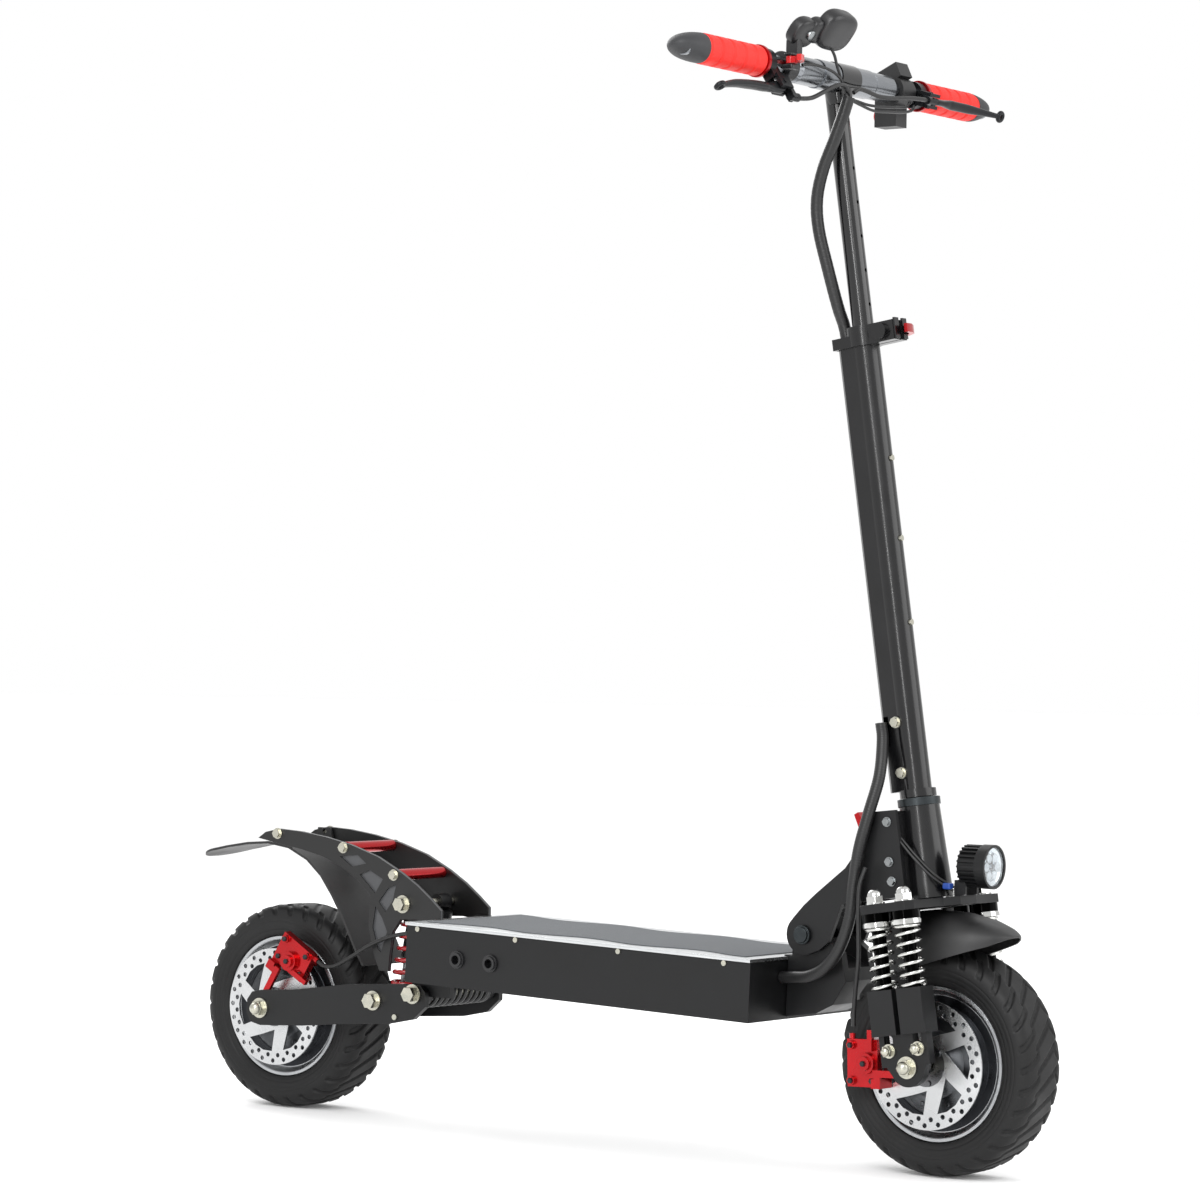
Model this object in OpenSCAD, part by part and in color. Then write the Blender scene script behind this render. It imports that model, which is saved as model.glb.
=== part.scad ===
// Electric kick scooter with twin-shock fork, folding stem, telescopic handlebar,
// sprung swingarm and two hub-motor wheels.
// +X is the way it rides, +Y is the rider's left, +Z is up. The origin is on the
// ground at the middle of the overall length. All sizes are in millimetres.

/* [Wheels] */
// Outside diameter of both tyres
tyre_d = 255; // [250:1:258]
// Width of both tyres
tyre_w = 80; // [76:1:84]
// Distance between the two axles
wheelbase = 957; // [955:1:960]
// Diameter of the brake rotors
rotor_d = 146; // [140:1:148]

/* [Deck] */
// Length of the deck box
deck_l = 500; // [496:1:502]
// Width of the deck box
deck_w = 220; // [210:1:230]
// Height of the deck box, without its top plate
deck_h = 69; // [66:1:72]
// How far the deck leans nose down, in degrees
deck_tilt = 1.7; // [1.5:0.1:1.9]

/* [Steering] */
// How far the steering axis leans back, in degrees
rake = 9.1; // [9:0.1:9.2]
// Height of the handlebar along the steering axis, above the front axle
bar_u = 1136; // [1110:1:1140]
// Length of the handlebar with its grips
bar_l = 660; // [640:1:670]
// Diameter of the handlebar tube
bar_d = 22.2; // [22:0.1:22.4]

/* [Hidden] */

$fn = 48;
gap = 0.3;              // clearance between faces of two bodies
run = 0.05;             // radial clearance of a running fit

// Wheels and axles
tyre_r = tyre_d / 2;
axle_z = tyre_r;
mid_x = 10.5;           // middle of the wheelbase
front_x = mid_x + wheelbase / 2;
rear_x = mid_x - wheelbase / 2;
axle_r = 6;
bead_r = 80;            // radius at which a tyre sits on its rim
lip_r = 88;             // radius of the rim lip
lip_y = 33.5;           // half width over the rim lips
hub_y = 46;             // half width over the hub bosses
rotor_y = -50.7;        // middle plane of the rotors
rotor_t = 2.4;

// Deck
deck_x = 38.5;
deck_z = 207;
shell_top = 33;         // top of the shell in the deck's own frame
shell_bottom = shell_top - deck_h;
wall_t = 5;
plate_t = 4;
port_x = [-171, -121];  // charge ports, in the deck's own frame
port_z = -2;
port_bore_r = 5.5;
port_bore_l = 12;
screw_x = [-233, -85, 65, 214];
screw_z = 29.5;

// Folding joint behind the head tube
fold_x = 316;
fold_z = 263;
fold_pin_r = 6;
ear_y = [22, 34];       // inner and outer face of the neck's ears
fold_y = [36, 42];      // inner and outer face of the folding plates
bracket_holes = [[426, 397], [430, 352], [434, 330]];

// Fork and stem, along the steering axis (u) and ahead of it (v)
crown_u = [174, 184];
head_u = [186, 291];
stem_u = [309, 833];
steerer_r = 15;
leg_y = 85;             // middle plane of each pair of shocks
shock_v = [-20.5, 17.5];
rod_r = 8;
leg_top = 88;
upper_r = 12.5;
bar_v = 8;
light_x = [506, 543];
light_z = 350;
light_r = 25;

// Cockpit
grip_in = 175;
grip_end = bar_l / 2;
perch_y = 160;
lever_drop = 17;        // degrees that the brake levers point down
right_drop = 58;        // the right lever is turned further down
lever_v = 30;           // pivot of the brake levers ahead of the bar
lever_y = 150;

// Rear suspension
arm_y = [70, 78];       // inner and outer face of the swingarm's plates
pivot = [-224, 161];
shock_low = [-286, 149];
shock_top = [-264, 267];
shock_y = 24;
plate_y = [45, 51];     // inner and outer face of the tail plates
spacer_at = [[-360.5, 332], [-279.5, 302]];
tip_bolt = [-467.5, 345];
stand_at = [100, 96, 156];

// Routes of the cables and hoses, point by point
bar_hose_route = [
    [344, -22, 1226], [338, -24, 1205], [327, -26, 1175], [313, -26, 1143], [305, -25, 1109],
    [307, -23, 1074], [317, -17, 1028], [326, -9, 986], [331, -3, 965], [334, -1, 949.5]
];
stem_hose_route = [
    [404, -23, 508], [407, -24, 488], [411, -36, 448], [405, -48, 405], [396, -52.5, 365],
    [390, -53, 325], [385, -53, 285], [371, -52, 250], [352, -51, 228], [330, -49, 217],
    [308, -47, 214], [290, -46, 213]
];
front_cable_route = [
    [408, -57, 345], [404, -62, 325], [404, -64, 300], [406, -66, 268], [407, -67, 240],
    [402, -64, 205], [398, -60, 182], [397, -58.5, 165]
];
rear_cable_route = [
    [-391.5, -58.5, 188.8], [-380, -59, 184], [-362, -60, 186], [-338, -60, 198],
    [-310, -59, 214], [-280, -58, 226], [-245, -60, 233], [-213.5, -62, 235]
];
right_cable_route = [
    [340.5, -128, 1213.2], [340.5, -116, 1213.2], [343, -98, 1216], [346, -80, 1224],
    [347, -62, 1232], [346, -44, 1237], [344, -31, 1237], [344, -24, 1232]
];
left_cable_route = [
    [359.3, 128, 1237.6], [359.3, 112, 1237.6], [357, 86, 1236], [354, 60, 1233],
    [351, 32, 1232], [350, 8, 1235], [349, -8, 1236], [347, -17, 1231]
];

// ---------------------------------------------------------------- shared geometry

// Frames
module fork_frame() {
    translate([front_x, 0, axle_z]) rotate([0, -rake, 0]) children();
}
module deck_frame() {
    translate([deck_x, 0, deck_z]) rotate([0, deck_tilt, 0]) children();
}
module at_front_axle() {
    translate([front_x, 0, axle_z]) children();
}
module at_rear_axle() {
    translate([rear_x, 0, axle_z]) children();
}
module bar_frame() {
    fork_frame() translate([bar_v, 0, bar_u]) rotate([0, rake, 0]) children();
}
module both_sides() {
    children();
    mirror([0, 1, 0]) children();
}

// Cylinder along Y from y0 to y1, through the point at = [x, z]
module bar_y(at, y0, y1, r, sides = $fn) {
    translate([at[0], y0, at[1]]) rotate([-90, 0, 0]) cylinder(r = r, h = y1 - y0, $fn = sides);
}
// Flat plate from y0 to y1 with the outline pts in X and Z
module plate_xz(pts, y0, y1) {
    translate([0, y1, 0]) rotate([90, 0, 0]) linear_extrude(y1 - y0) polygon(pts);
}
// Box between two corners
module box(lo, hi) {
    translate(lo) cube([hi[0] - lo[0], hi[1] - lo[1], hi[2] - lo[2]]);
}
// Ring along Y
module ring_y(at, y0, y1, r_out, r_in) {
    difference() {
        bar_y(at, y0, y1, r_out);
        bar_y(at, y0 - 1, y1 + 1, r_in);
    }
}
// Hexagon head with a washer on the right-hand (-Y) face at y = -face, shank inwards
module hex_bolt(at, face, shank_r, shank_l, head_r = 5.5, head_h = 4, washer_r = 7) {
    bar_y(at, -face, -face + shank_l, shank_r, 24);
    bar_y(at, -face - 1.2, -face, washer_r, 32);
    bar_y(at, -face - 1.2 - head_h, -face - 1.2, head_r, 6);
}
// Closed dome nut on the right-hand face at y = -face
module dome_nut(at, face, r, washer_r) {
    bar_y(at, -face - 2, -face, washer_r, 32);
    bar_y(at, -face - 9, -face - 2, r, 6);
    translate([at[0], -face - 9, at[1]]) sphere(r = r * 0.8, $fn = 32);
}

// Smooth curve through hand-set points
function catmull(a, b, c, d, t) = 0.5 * (2 * b + (c - a) * t
    + (2 * a - 5 * b + 4 * c - d) * t * t + (3 * b - a - 3 * c + d) * t * t * t);
function at_end(p, i) = p[max(0, min(len(p) - 1, i))];
function smooth(p, k) = concat(
    [for (i = [0 : len(p) - 2]) for (j = [0 : k - 1])
        catmull(at_end(p, i - 1), p[i], p[i + 1], at_end(p, i + 2), j / k)],
    [p[len(p) - 1]]);
function unit(v) = v / norm(v);
function heading(p, i) = unit(at_end(p, i + 1) - at_end(p, i - 1));

// Round tube swept along the points p; ref is a direction that p never runs along
module sweep(p, r, sides, ref) {
    n = len(p);
    pts = [for (i = [0 : n - 1])
        let (t = heading(p, i), a = unit(cross(t, ref)), b = cross(t, a))
        for (j = [0 : sides - 1]) p[i] + r * (cos(360 * j / sides) * a + sin(360 * j / sides) * b)];
    walls = [for (i = [0 : n - 2]) for (j = [0 : sides - 1])
        let (k = (j + 1) % sides, a = i * sides, b = a + sides)
        each [[a + j, b + j, b + k], [a + j, b + k, a + k]]];
    start = [for (j = [0 : sides - 1]) j];
    finish = [for (j = [sides - 1 : -1 : 0]) (n - 1) * sides + j];
    polyhedron(points = pts, faces = concat([start], walls, [finish]), convexity = 8);
}
// Coil spring standing on z = 0
module coil(r, wire_r, height, turns, rings = 12, sides = 6) {
    n = turns * rings;
    pts = [for (i = [0 : n])
        [r * cos(360 * i / rings), r * sin(360 * i / rings),
         wire_r + (height - 2 * wire_r) * i / n]];
    sweep(pts, wire_r, sides, [0, 0, 1]);
}

// ---------------------------------------------------------------- deck

module pivot_lug() {
    difference() {
        union() {
            bar_y(pivot, 59, 67, 16);
            box([-232, 59, 158], [-176, 67, 182]);
        }
        bar_y(pivot, 50, 80, axle_r + run);
    }
}
module stand_lug(y0, y1) {
    difference() {
        union() {
            bar_y([stand_at[0], stand_at[2]], y0, y1, 9);
            box([stand_at[0] - 9, y0, stand_at[2]], [stand_at[0] + 9, y1, 172]);
        }
        bar_y([stand_at[0], stand_at[2]], y0 - 1, y1 + 1, 4 + run);
    }
}
module deck_shell() {
    color([0.10, 0.10, 0.11]) {
        difference() {
            deck_frame() translate([-deck_l / 2, -deck_w / 2, shell_bottom])
                cube([deck_l, deck_w, deck_h]);
            deck_frame() translate([-deck_l / 2 + wall_t, -deck_w / 2 + wall_t, shell_bottom + 4])
                cube([deck_l - 2 * wall_t, deck_w - 2 * wall_t, deck_h]);
            for (x = port_x) deck_frame()
                bar_y([x, port_z], -deck_w / 2 - 1, -deck_w / 2 + wall_t + 1, 8.2);
        }
        difference() {
            union() {
                both_sides() pivot_lug();
                stand_lug(84, 90);
                stand_lug(102, 108);
            }
            deck_frame() translate([-deck_l / 2, -deck_w / 2, shell_bottom])
                cube([deck_l, deck_w, deck_h]);
        }
    }
}
module deck_plate() {
    color([0.72, 0.73, 0.74]) deck_frame()
        translate([-deck_l / 2 - 1, -deck_w / 2 - 3, shell_top])
            cube([deck_l + 2, deck_w + 6, plate_t]);
}
// Half outline of the grip tape, with its waves along the edge
tape_edge = [for (i = [0 : 40]) let (x = -232 + 464 * i / 40)
    [x, 86 + 8 * cos(3 * 360 * (x + 232) / 464)]];
module grip_tape() {
    color([0.45, 0.46, 0.47]) deck_frame() translate([0, 0, shell_top + plate_t])
        linear_extrude(1.2)
            polygon(concat(tape_edge, [for (i = [40 : -1 : 0]) [tape_edge[i][0], -tape_edge[i][1]]]));
}
module battery_pack() {
    color([0.15, 0.25, 0.55]) deck_frame()
        translate([-120, -90, shell_bottom + 5]) cube([300, 180, 52]);
}
module controllers() {
    color([0.6, 0.6, 0.62]) deck_frame() for (side = [-1, 1])
        translate([-228, side * 48 - 38, shell_bottom + 5]) cube([92, 76, 30]);
}
module charge_ports() {
    color([0.12, 0.12, 0.12]) deck_frame() for (x = port_x) difference() {
        union() {
            bar_y([x, port_z], -deck_w / 2, -deck_w / 2 + 14, 8);
            bar_y([x, port_z], -deck_w / 2 - 2.5, -deck_w / 2, 10.5);
            bar_y([x, port_z], -deck_w / 2 - 5, -deck_w / 2 - 2.5, 8.5);
            bar_y([x, port_z], -deck_w / 2 + wall_t + gap, -deck_w / 2 + wall_t + 3, 10.5, 6);
        }
        bar_y([x, port_z], -deck_w / 2 - 6, -deck_w / 2 - 5 + port_bore_l, port_bore_r);
    }
}
neck_side = [
    [285, 166], [330, 173], [352, 184], [370, 212], [366, 226], [340, 238], [285, 238]
];
module neck_ear() {
    difference() {
        union() {
            bar_y([fold_x, fold_z], ear_y[0], ear_y[1], 22);
            plate_xz([[296, 236], [296, 263], [338, 263], [362, 245], [366, 226]], ear_y[0], ear_y[1]);
        }
        bar_y([fold_x, fold_z], ear_y[0] - 1, ear_y[1] + 1, fold_pin_r + run);
    }
}
module deck_neck() {
    color([0.10, 0.10, 0.11]) difference() {
        union() {
            plate_xz(neck_side, -ear_y[1], ear_y[1]);
            both_sides() neck_ear();
        }
        deck_frame() translate([-deck_l / 2 - 1, -deck_w / 2 - 3, shell_bottom])
            cube([deck_l + 2, deck_w + 6, deck_h + plate_t]);
    }
}
module fold_pin() {
    color([0.35, 0.38, 0.38]) {
        bar_y([fold_x, fold_z], -fold_y[1] - gap, fold_y[1] + gap, fold_pin_r);
        both_sides() {
            bar_y([fold_x, fold_z], fold_y[1] + gap, fold_y[1] + 4.5, 11);
            bar_y([fold_x, fold_z], fold_y[1] + 4.5, fold_y[1] + 7.5, 9);
        }
    }
}

// ---------------------------------------------------------------- rear frame

tail_side = [
    [-206, 245], [-206, 262], [-222, 275], [-244, 291], [-268, 305], [-306, 323], [-349, 336],
    [-390, 344], [-430, 349], [-466, 351], [-488, 346], [-500, 338], [-470, 333], [-430, 327],
    [-396, 320], [-365, 309], [-338, 294], [-317, 276], [-318, 236], [-310, 205], [-300, 183],
    [-286, 183], [-284, 205], [-280, 232], [-268, 248], [-246, 249]
];
// Pockets milled into the outer faces, between the ribs of an X
pockets = [
    [[-303, 268], [-288, 286], [-276, 290], [-281, 270], [-292, 256]],
    [[-309, 278], [-297, 296], [-318, 306], [-334, 300]],
    [[-312, 236], [-308, 262], [-297, 248], [-289, 232], [-298, 206], [-303, 210]],
    [[-346, 309], [-324, 314], [-338, 324], [-366, 321]]
];
module tail_plate() {
    difference() {
        union() {
            plate_xz(tail_side, plate_y[0], plate_y[1]);
            // Flange bolted to the deck's rear face
            box([-222, 36, 184], [-205, plate_y[1], 252]);
        }
        for (p = pockets) plate_xz(p, plate_y[1] - 2.5, plate_y[1] + 1);
        for (p = spacer_at) bar_y(p, plate_y[0] - 1, plate_y[1] + 1, 3 + run, 24);
        bar_y(tip_bolt, plate_y[0] - 1, plate_y[1] + 1, 3 + run, 24);
        bar_y(shock_top, plate_y[0] - 1, plate_y[1] + 1, 5 + run);
        deck_frame() translate([-deck_l / 2 - 1, -deck_w / 2 - 3, shell_bottom])
            cube([deck_l + 2, deck_w + 6, deck_h + plate_t]);
    }
}
module tail_plates() {
    color([0.10, 0.10, 0.11]) both_sides() tail_plate();
}
module tail_spacers() {
    color([0.80, 0.06, 0.08]) for (p = spacer_at) difference() {
        bar_y(p, -plate_y[0], plate_y[0], 7);
        both_sides() bar_y(p, plate_y[0] - 12, plate_y[0] + 1, 3 + run, 24);
    }
}
module frame_bolts() {
    color([0.70, 0.66, 0.50]) {
        both_sides() {
            for (p = spacer_at) hex_bolt(p, plate_y[1], 3, 14);
            hex_bolt(tip_bolt, plate_y[1], 3, plate_y[1] - 43.5);
            deck_frame() for (x = screw_x)
                bar_y([x, screw_z], -deck_w / 2 - 1.6, -deck_w / 2, 3.2, 24);
            // Washers and heads of the swingarm pivot
            bar_y(pivot, -arm_y[1] - 3, -arm_y[1] - gap, 12);
            bar_y(pivot, -arm_y[1] - 13, -arm_y[1] - 3, 9.5, 6);
            // Washers and heads of the upper shock bolt
            bar_y(shock_top, -plate_y[1] - 2, -plate_y[1], 11);
            bar_y(shock_top, -plate_y[1] - 11, -plate_y[1] - 2, 8.5, 6);
        }
        bar_y(pivot, -arm_y[1] - gap, arm_y[1] + gap, axle_r);
        bar_y(shock_top, -plate_y[1], plate_y[1], 5);
        bar_y([stand_at[0], stand_at[2]], 83, 109, 4);
    }
}
// Strip of the mudguard in X and Z, from its free tip forwards and down
fender_line = [
    [-617, 308], [-588, 316.5], [-557, 323], [-524, 328.5], [-490, 331], [-457, 326.5],
    [-427, 313], [-404, 294], [-386, 271], [-370, 247], [-356, 222], [-345, 202], [-334, 186]
];
fender_t = 3;
function normal_2d(p, i) = [-heading(p, i)[1], heading(p, i)[0]];
module rear_fender() {
    back = [for (i = [len(fender_line) - 1 : -1 : 0])
        fender_line[i] + fender_t * normal_2d(fender_line, i)];
    color([0.09, 0.09, 0.10]) difference() {
        plate_xz(concat(fender_line, back), -43, 43);
        // The free tip is rounded in plan
        difference() {
            box([-640, -60, 280], [-575, 60, 345]);
            translate([-574, 0, 270]) cylinder(r = 43.6, h = 90, $fn = 64);
        }
    }
    // Lugs that take the tip bolts
    color([0.09, 0.09, 0.10]) both_sides() difference() {
        plate_xz([[-482, 333], [-478, 350], [-458, 350], [-452, 328]], 40, 43.4);
        bar_y(tip_bolt, 38, 46, 3 + run, 24);
    }
}
module kickstand() {
    color([0.13, 0.13, 0.14]) difference() {
        union() {
            bar_y([stand_at[0], stand_at[2]], 90.3, 101.7, 9);
            translate([stand_at[0] - 6, stand_at[1], stand_at[2]]) rotate([0, -90, 0])
                cylinder(r = 5.5, h = 128);
            translate([stand_at[0] - 134, stand_at[1], stand_at[2]])
                bar_y([0, 0], -11, 11, 6.5);
        }
        bar_y([stand_at[0], stand_at[2]], 80, 110, 4 + run);
    }
}

// ---------------------------------------------------------------- folding front end

module head_tube() {
    color([0.10, 0.10, 0.11]) difference() {
        union() {
            fork_frame() translate([0, 0, head_u[0]])
                cylinder(r1 = 27, r2 = 23, h = head_u[1] - head_u[0], $fn = 96);
            fork_frame() box([-47, -fold_y[0], 214], [-8, fold_y[0], 287]);
            fork_frame() box([-34, -fold_y[0], 190], [-8, fold_y[0], 214]);
        }
        fork_frame() translate([0, 0, head_u[0] - 1]) cylinder(r = 20, h = 120, $fn = 96);
        for (p = bracket_holes) bar_y(p, -50, 50, 3 + run, 24);
    }
}
fold_side = [
    [301, 281], [316, 297], [332, 311], [371, 342], [386, 362], [398, 384], [410, 408],
    [436, 411], [443, 372], [452, 314], [400, 306], [367, 300], [358, 276], [350, 256], [337, 246],
    [323, 241], [305, 244]
];
module fold_plates() {
    color([0.10, 0.10, 0.11]) both_sides() difference() {
        union() {
            plate_xz(fold_side, fold_y[0], fold_y[1]);
            bar_y([fold_x, fold_z], fold_y[0], fold_y[1], 23);
        }
        bar_y([fold_x, fold_z], fold_y[0] - 1, fold_y[1] + 1, fold_pin_r + run);
        for (p = bracket_holes) bar_y(p, fold_y[0] - 1, fold_y[1] + 1, 3 + run, 24);
        bar_y([390, 372], fold_y[0] - 1, fold_y[1] + 1, 3 + run, 24);
    }
    // Cross bar that stiffens the two plates
    color([0.10, 0.10, 0.11]) difference() {
        bar_y([340, 296], -fold_y[0], fold_y[0], 6);
        bar_y([340, 296], -4, 4, 2);
    }
}
module headset() {
    color([0.16, 0.16, 0.17]) fork_frame() {
        for (u = [head_u[0] + 1, head_u[1] - 11]) translate([0, 0, u]) difference() {
            cylinder(r = 19.95, h = 10, $fn = 96);
            translate([0, 0, -1]) cylinder(r = steerer_r + run, h = 12, $fn = 96);
        }
        translate([0, 0, head_u[1]]) difference() {
            cylinder(r = 24.5, h = 9);
            translate([0, 0, -1]) cylinder(r = steerer_r + 1, h = 12);
        }
    }
}
module bracket_bolts() {
    color([0.75, 0.75, 0.74]) both_sides() for (p = bracket_holes)
        hex_bolt(p, fold_y[1], 3, 20, 4.6, 3, 5.6);
    color([0.75, 0.75, 0.74]) bar_y([390, 372], -fold_y[1] - 2, fold_y[1] + 2, 3);
}
module fold_latch() {
    color([0.80, 0.06, 0.08]) difference() {
        union() {
            bar_y([390, 372], -35, 35, 7);
            plate_xz([[384, 369], [372, 384], [364, 402], [369, 405], [380, 391], [395, 376]], -14, 14);
            plate_xz([[384, 369], [356, 336], [346, 322], [353, 318], [363, 330], [394, 366]], -8, 8);
        }
        bar_y([390, 372], -40, 40, 3 + run, 24);
    }
}

// ---------------------------------------------------------------- fork crown and lower stem

crown_half = [
    [-30, 0], [-30, 34], [-37.5, 74], [-37.5, 92], [-30, 101], [-20, 102.5], [-1.5, 98],
    [17, 102.5], [27, 101], [34.5, 92], [34.5, 74], [38, 34], [50, 18], [50, 0]
];
module fork_crown() {
    color([0.09, 0.09, 0.10]) fork_frame() {
        difference() {
            translate([0, 0, crown_u[0]]) linear_extrude(crown_u[1] - crown_u[0])
                polygon(concat(crown_half, [for (i = [len(crown_half) - 2 : -1 : 1])
                    [crown_half[i][0], -crown_half[i][1]]]));
            for (v = shock_v) for (side = [-1, 1]) translate([v, side * leg_y, crown_u[0] - 1])
                cylinder(r = rod_r + run, h = 12);
        }
        translate([0, 0, crown_u[1]]) cylinder(r = steerer_r, h = 146, $fn = 96);
    }
}
bolt_v = -8;            // bolts through the sides of the lower stem
bolt_u = [330, 388];
module lower_stem() {
    color([0.09, 0.09, 0.10]) fork_frame() difference() {
        union() {
            translate([0, 0, stem_u[0]]) cylinder(r = 16.5, h = stem_u[1] - stem_u[0], $fn = 96);
            translate([0, 0, stem_u[0]]) linear_extrude(stem_u[1] - stem_u[0])
                polygon([[0, -15], [-25, -15], [-30, -10], [-30, 10], [-25, 15], [0, 15]]);
            translate([0, 0, stem_u[0] - 8]) cylinder(r = 21, h = 9, $fn = 96);
            for (u = bolt_u) bar_y([bolt_v, u], -16.6, 16.6, 7.5);
        }
        translate([0, 0, stem_u[0] - 9]) cylinder(r = steerer_r + run, h = 31, $fn = 96);
        translate([0, 0, stem_u[0] + 21]) cylinder(r = upper_r + 0.5, h = 600, $fn = 96);
        translate([0, 0, stem_u[0] + 20]) cylinder(r = steerer_r + run, h = 3, $fn = 96);
        box([-27, -10, stem_u[0] + 12], [-17.5, 10, stem_u[1] + 1]);
        box([-26, -16, 372], [-19, -8, 396]);
    }
}
clamp_u = [822, 845];
module clamp_collar() {
    color([0.08, 0.08, 0.09]) fork_frame() difference() {
        union() {
            translate([0, 0, clamp_u[0]]) cylinder(r = 20, h = clamp_u[1] - clamp_u[0], $fn = 96);
            box([-33, -18, clamp_u[0]], [0, 18, stem_u[1] + 2]);
            box([8, -14, clamp_u[0]], [48, 14, clamp_u[1]]);
        }
        translate([0, 0, clamp_u[0] - 1]) cylinder(r = 16.5, h = stem_u[1] - clamp_u[0] + 1, $fn = 96);
        translate([0, 0, clamp_u[0] - 1]) cylinder(r = upper_r + run, h = 30, $fn = 96);
        box([-30.05, -15.05, clamp_u[0] - 1], [0, 15.05, stem_u[1]]);
        box([-34, -11, stem_u[1] + 2], [-15.5, 11, 850]);
        box([-27, -8, clamp_u[0]], [-18, 8, 850]);
        box([10, -1.5, clamp_u[0] - 1], [60, 1.5, clamp_u[1] + 1]);
        translate([31, -20, 834]) rotate([-90, 0, 0]) cylinder(r = 3.05, h = 40);
    }
    // Clamp bolt with its round red thumb nut on the right
    color([0.80, 0.06, 0.08]) fork_frame() {
        translate([31, -20, 834]) rotate([-90, 0, 0]) cylinder(r = 3, h = 36);
        translate([31, -20, 834]) rotate([-90, 0, 0]) cylinder(r = 9.5, h = 6);
    }
    // Bright clamp plates at the front of the block
    color([0.8, 0.8, 0.8]) fork_frame() both_sides()
        box([48, 4, clamp_u[0] + 1], [50.5, 13, clamp_u[1] + 2]);
}
module stem_bolts() {
    color([0.76, 0.66, 0.42]) fork_frame() both_sides() for (u = bolt_u) {
        bar_y([bolt_v, u], -18.4, -16.6, 6.5, 32);
        bar_y([bolt_v, u], -22.4, -18.4, 5.5, 6);
    }
    color([0.3, 0.3, 0.3]) fork_frame() for (u = [500, 597, 690])
        difference() {
            translate([14, 0, u]) rotate([0, 90, 0]) cylinder(r = 3.5, h = 5.2, $fn = 24);
            translate([0, 0, u - 5]) cylinder(r = 16.5, h = 10, $fn = 96);
        }
}
module qr_lever() {
    color([0.80, 0.06, 0.08]) fork_frame() {
        translate([31, 21.5, 828]) cylinder(r = 5, h = 12);
        translate([0, 0, 829]) linear_extrude(10)
            polygon([[29, 25], [44, 27], [55, 20], [60, 8], [60, -3], [56, -3], [55, 8],
                [50, 16.5], [42, 21], [33, 19]]);
    }
}
module shock_rods() {
    color([0.80, 0.78, 0.70]) fork_frame() for (v = shock_v) for (side = [-1, 1])
        translate([v, side * leg_y, 0]) {
            translate([0, 0, 58]) cylinder(r = rod_r, h = 128);
            translate([0, 0, crown_u[1]]) cylinder(r = 11, h = 2, $fn = 48);
            translate([0, 0, crown_u[1] + 2]) cylinder(r = 10.5, h = 7, $fn = 6);
            translate([0, 0, crown_u[1] + 9]) sphere(r = 8.6, $fn = 32);
            // Preload collar: a ring on a threaded sleeve
            translate([0, 0, 163]) cylinder(r = 16.5, h = crown_u[0] - 163);
            translate([0, 0, 158.5]) cylinder(r = 17.5, h = 4.5);
        }
}
module fork_springs() {
    color([0.78, 0.78, 0.76]) fork_frame() for (v = shock_v) for (side = [-1, 1])
        translate([v, side * leg_y, leg_top + 0.5]) coil(13.6, 2.1, 69.7, 8);
}
// Outline that the front mudguard is trimmed to in X and Z: its skirts rise towards the tip
fender_side = [
    [424, 221], [489, 241.5], [522, 252], [555, 263], [580, 272], [580, 330], [424, 330]
];
module front_fender() {
    color([0.09, 0.09, 0.10]) intersection() {
        at_front_axle() rotate([90, 0, 0]) rotate([0, 0, 50]) rotate_extrude(angle = 72, $fn = 160)
            polygon([[108, -52], [140, -51], [155, -47], [162, -36], [165, -20], [165, 20],
                [162, 36], [155, 47], [140, 51], [108, 52], [108, 55], [141, 54], [158, 49.5],
                [165.5, 38], [168.5, 21], [168.5, -21], [165.5, -38], [158, -49.5], [141, -54],
                [108, -55]]);
        plate_xz(fender_side, -60, 60);
        // Plan: wide over the tyre, narrow at the tip
        hull() {
            translate([490, 0, 200]) cylinder(r = 70, h = 140, $fn = 96);
            translate([554, 0, 200]) cylinder(r = 15, h = 140, $fn = 48);
        }
        fork_frame() box([-80, -70, 0], [110, 70, crown_u[0] - gap]);
    }
    // Posts up to the crown
    color([0.09, 0.09, 0.10]) fork_frame() for (v = [-22, 22])
        translate([v, 0, 163]) cylinder(r = 6, h = crown_u[0] - 163);
}
module headlight() {
    color([0.07, 0.07, 0.08]) {
        translate([light_x[0], 0, light_z]) rotate([0, 90, 0])
            cylinder(r = light_r - 4, h = light_x[1] - light_x[0] - 9);
        // Cooling fins along the barrel
        for (i = [0 : 23]) translate([light_x[0] + 1, 0, light_z]) rotate([15 * i, 0, 0])
            translate([0, -1, light_r - 6]) cube([24, 2, 5.2]);
        translate([light_x[1] - 13, 0, light_z]) rotate([0, 90, 0]) difference() {
            cylinder(r = light_r, h = 13);
            translate([0, 0, 4]) cylinder(r = light_r - 3, h = 10);
        }
        // Stirrup that carries the lamp on the crown
        difference() {
            union() {
                box([498, -15, 310], [516, 15, 313.5]);
                box([500, -15, 313], [514, -11, 334]);
                box([500, 11, 313], [514, 15, 334]);
                bar_y([507, 330], -15, 15, 5);
            }
            fork_frame() box([-60, -60, 150], [60, 60, crown_u[1]]);
        }
    }
}
module headlight_lens() {
    color([0.85, 0.88, 0.9]) translate([light_x[1] - 4, 0, light_z]) rotate([0, 90, 0])
        cylinder(r = light_r - 3.1, h = 3);
}

// ---------------------------------------------------------------- fork legs and front wheel

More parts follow.
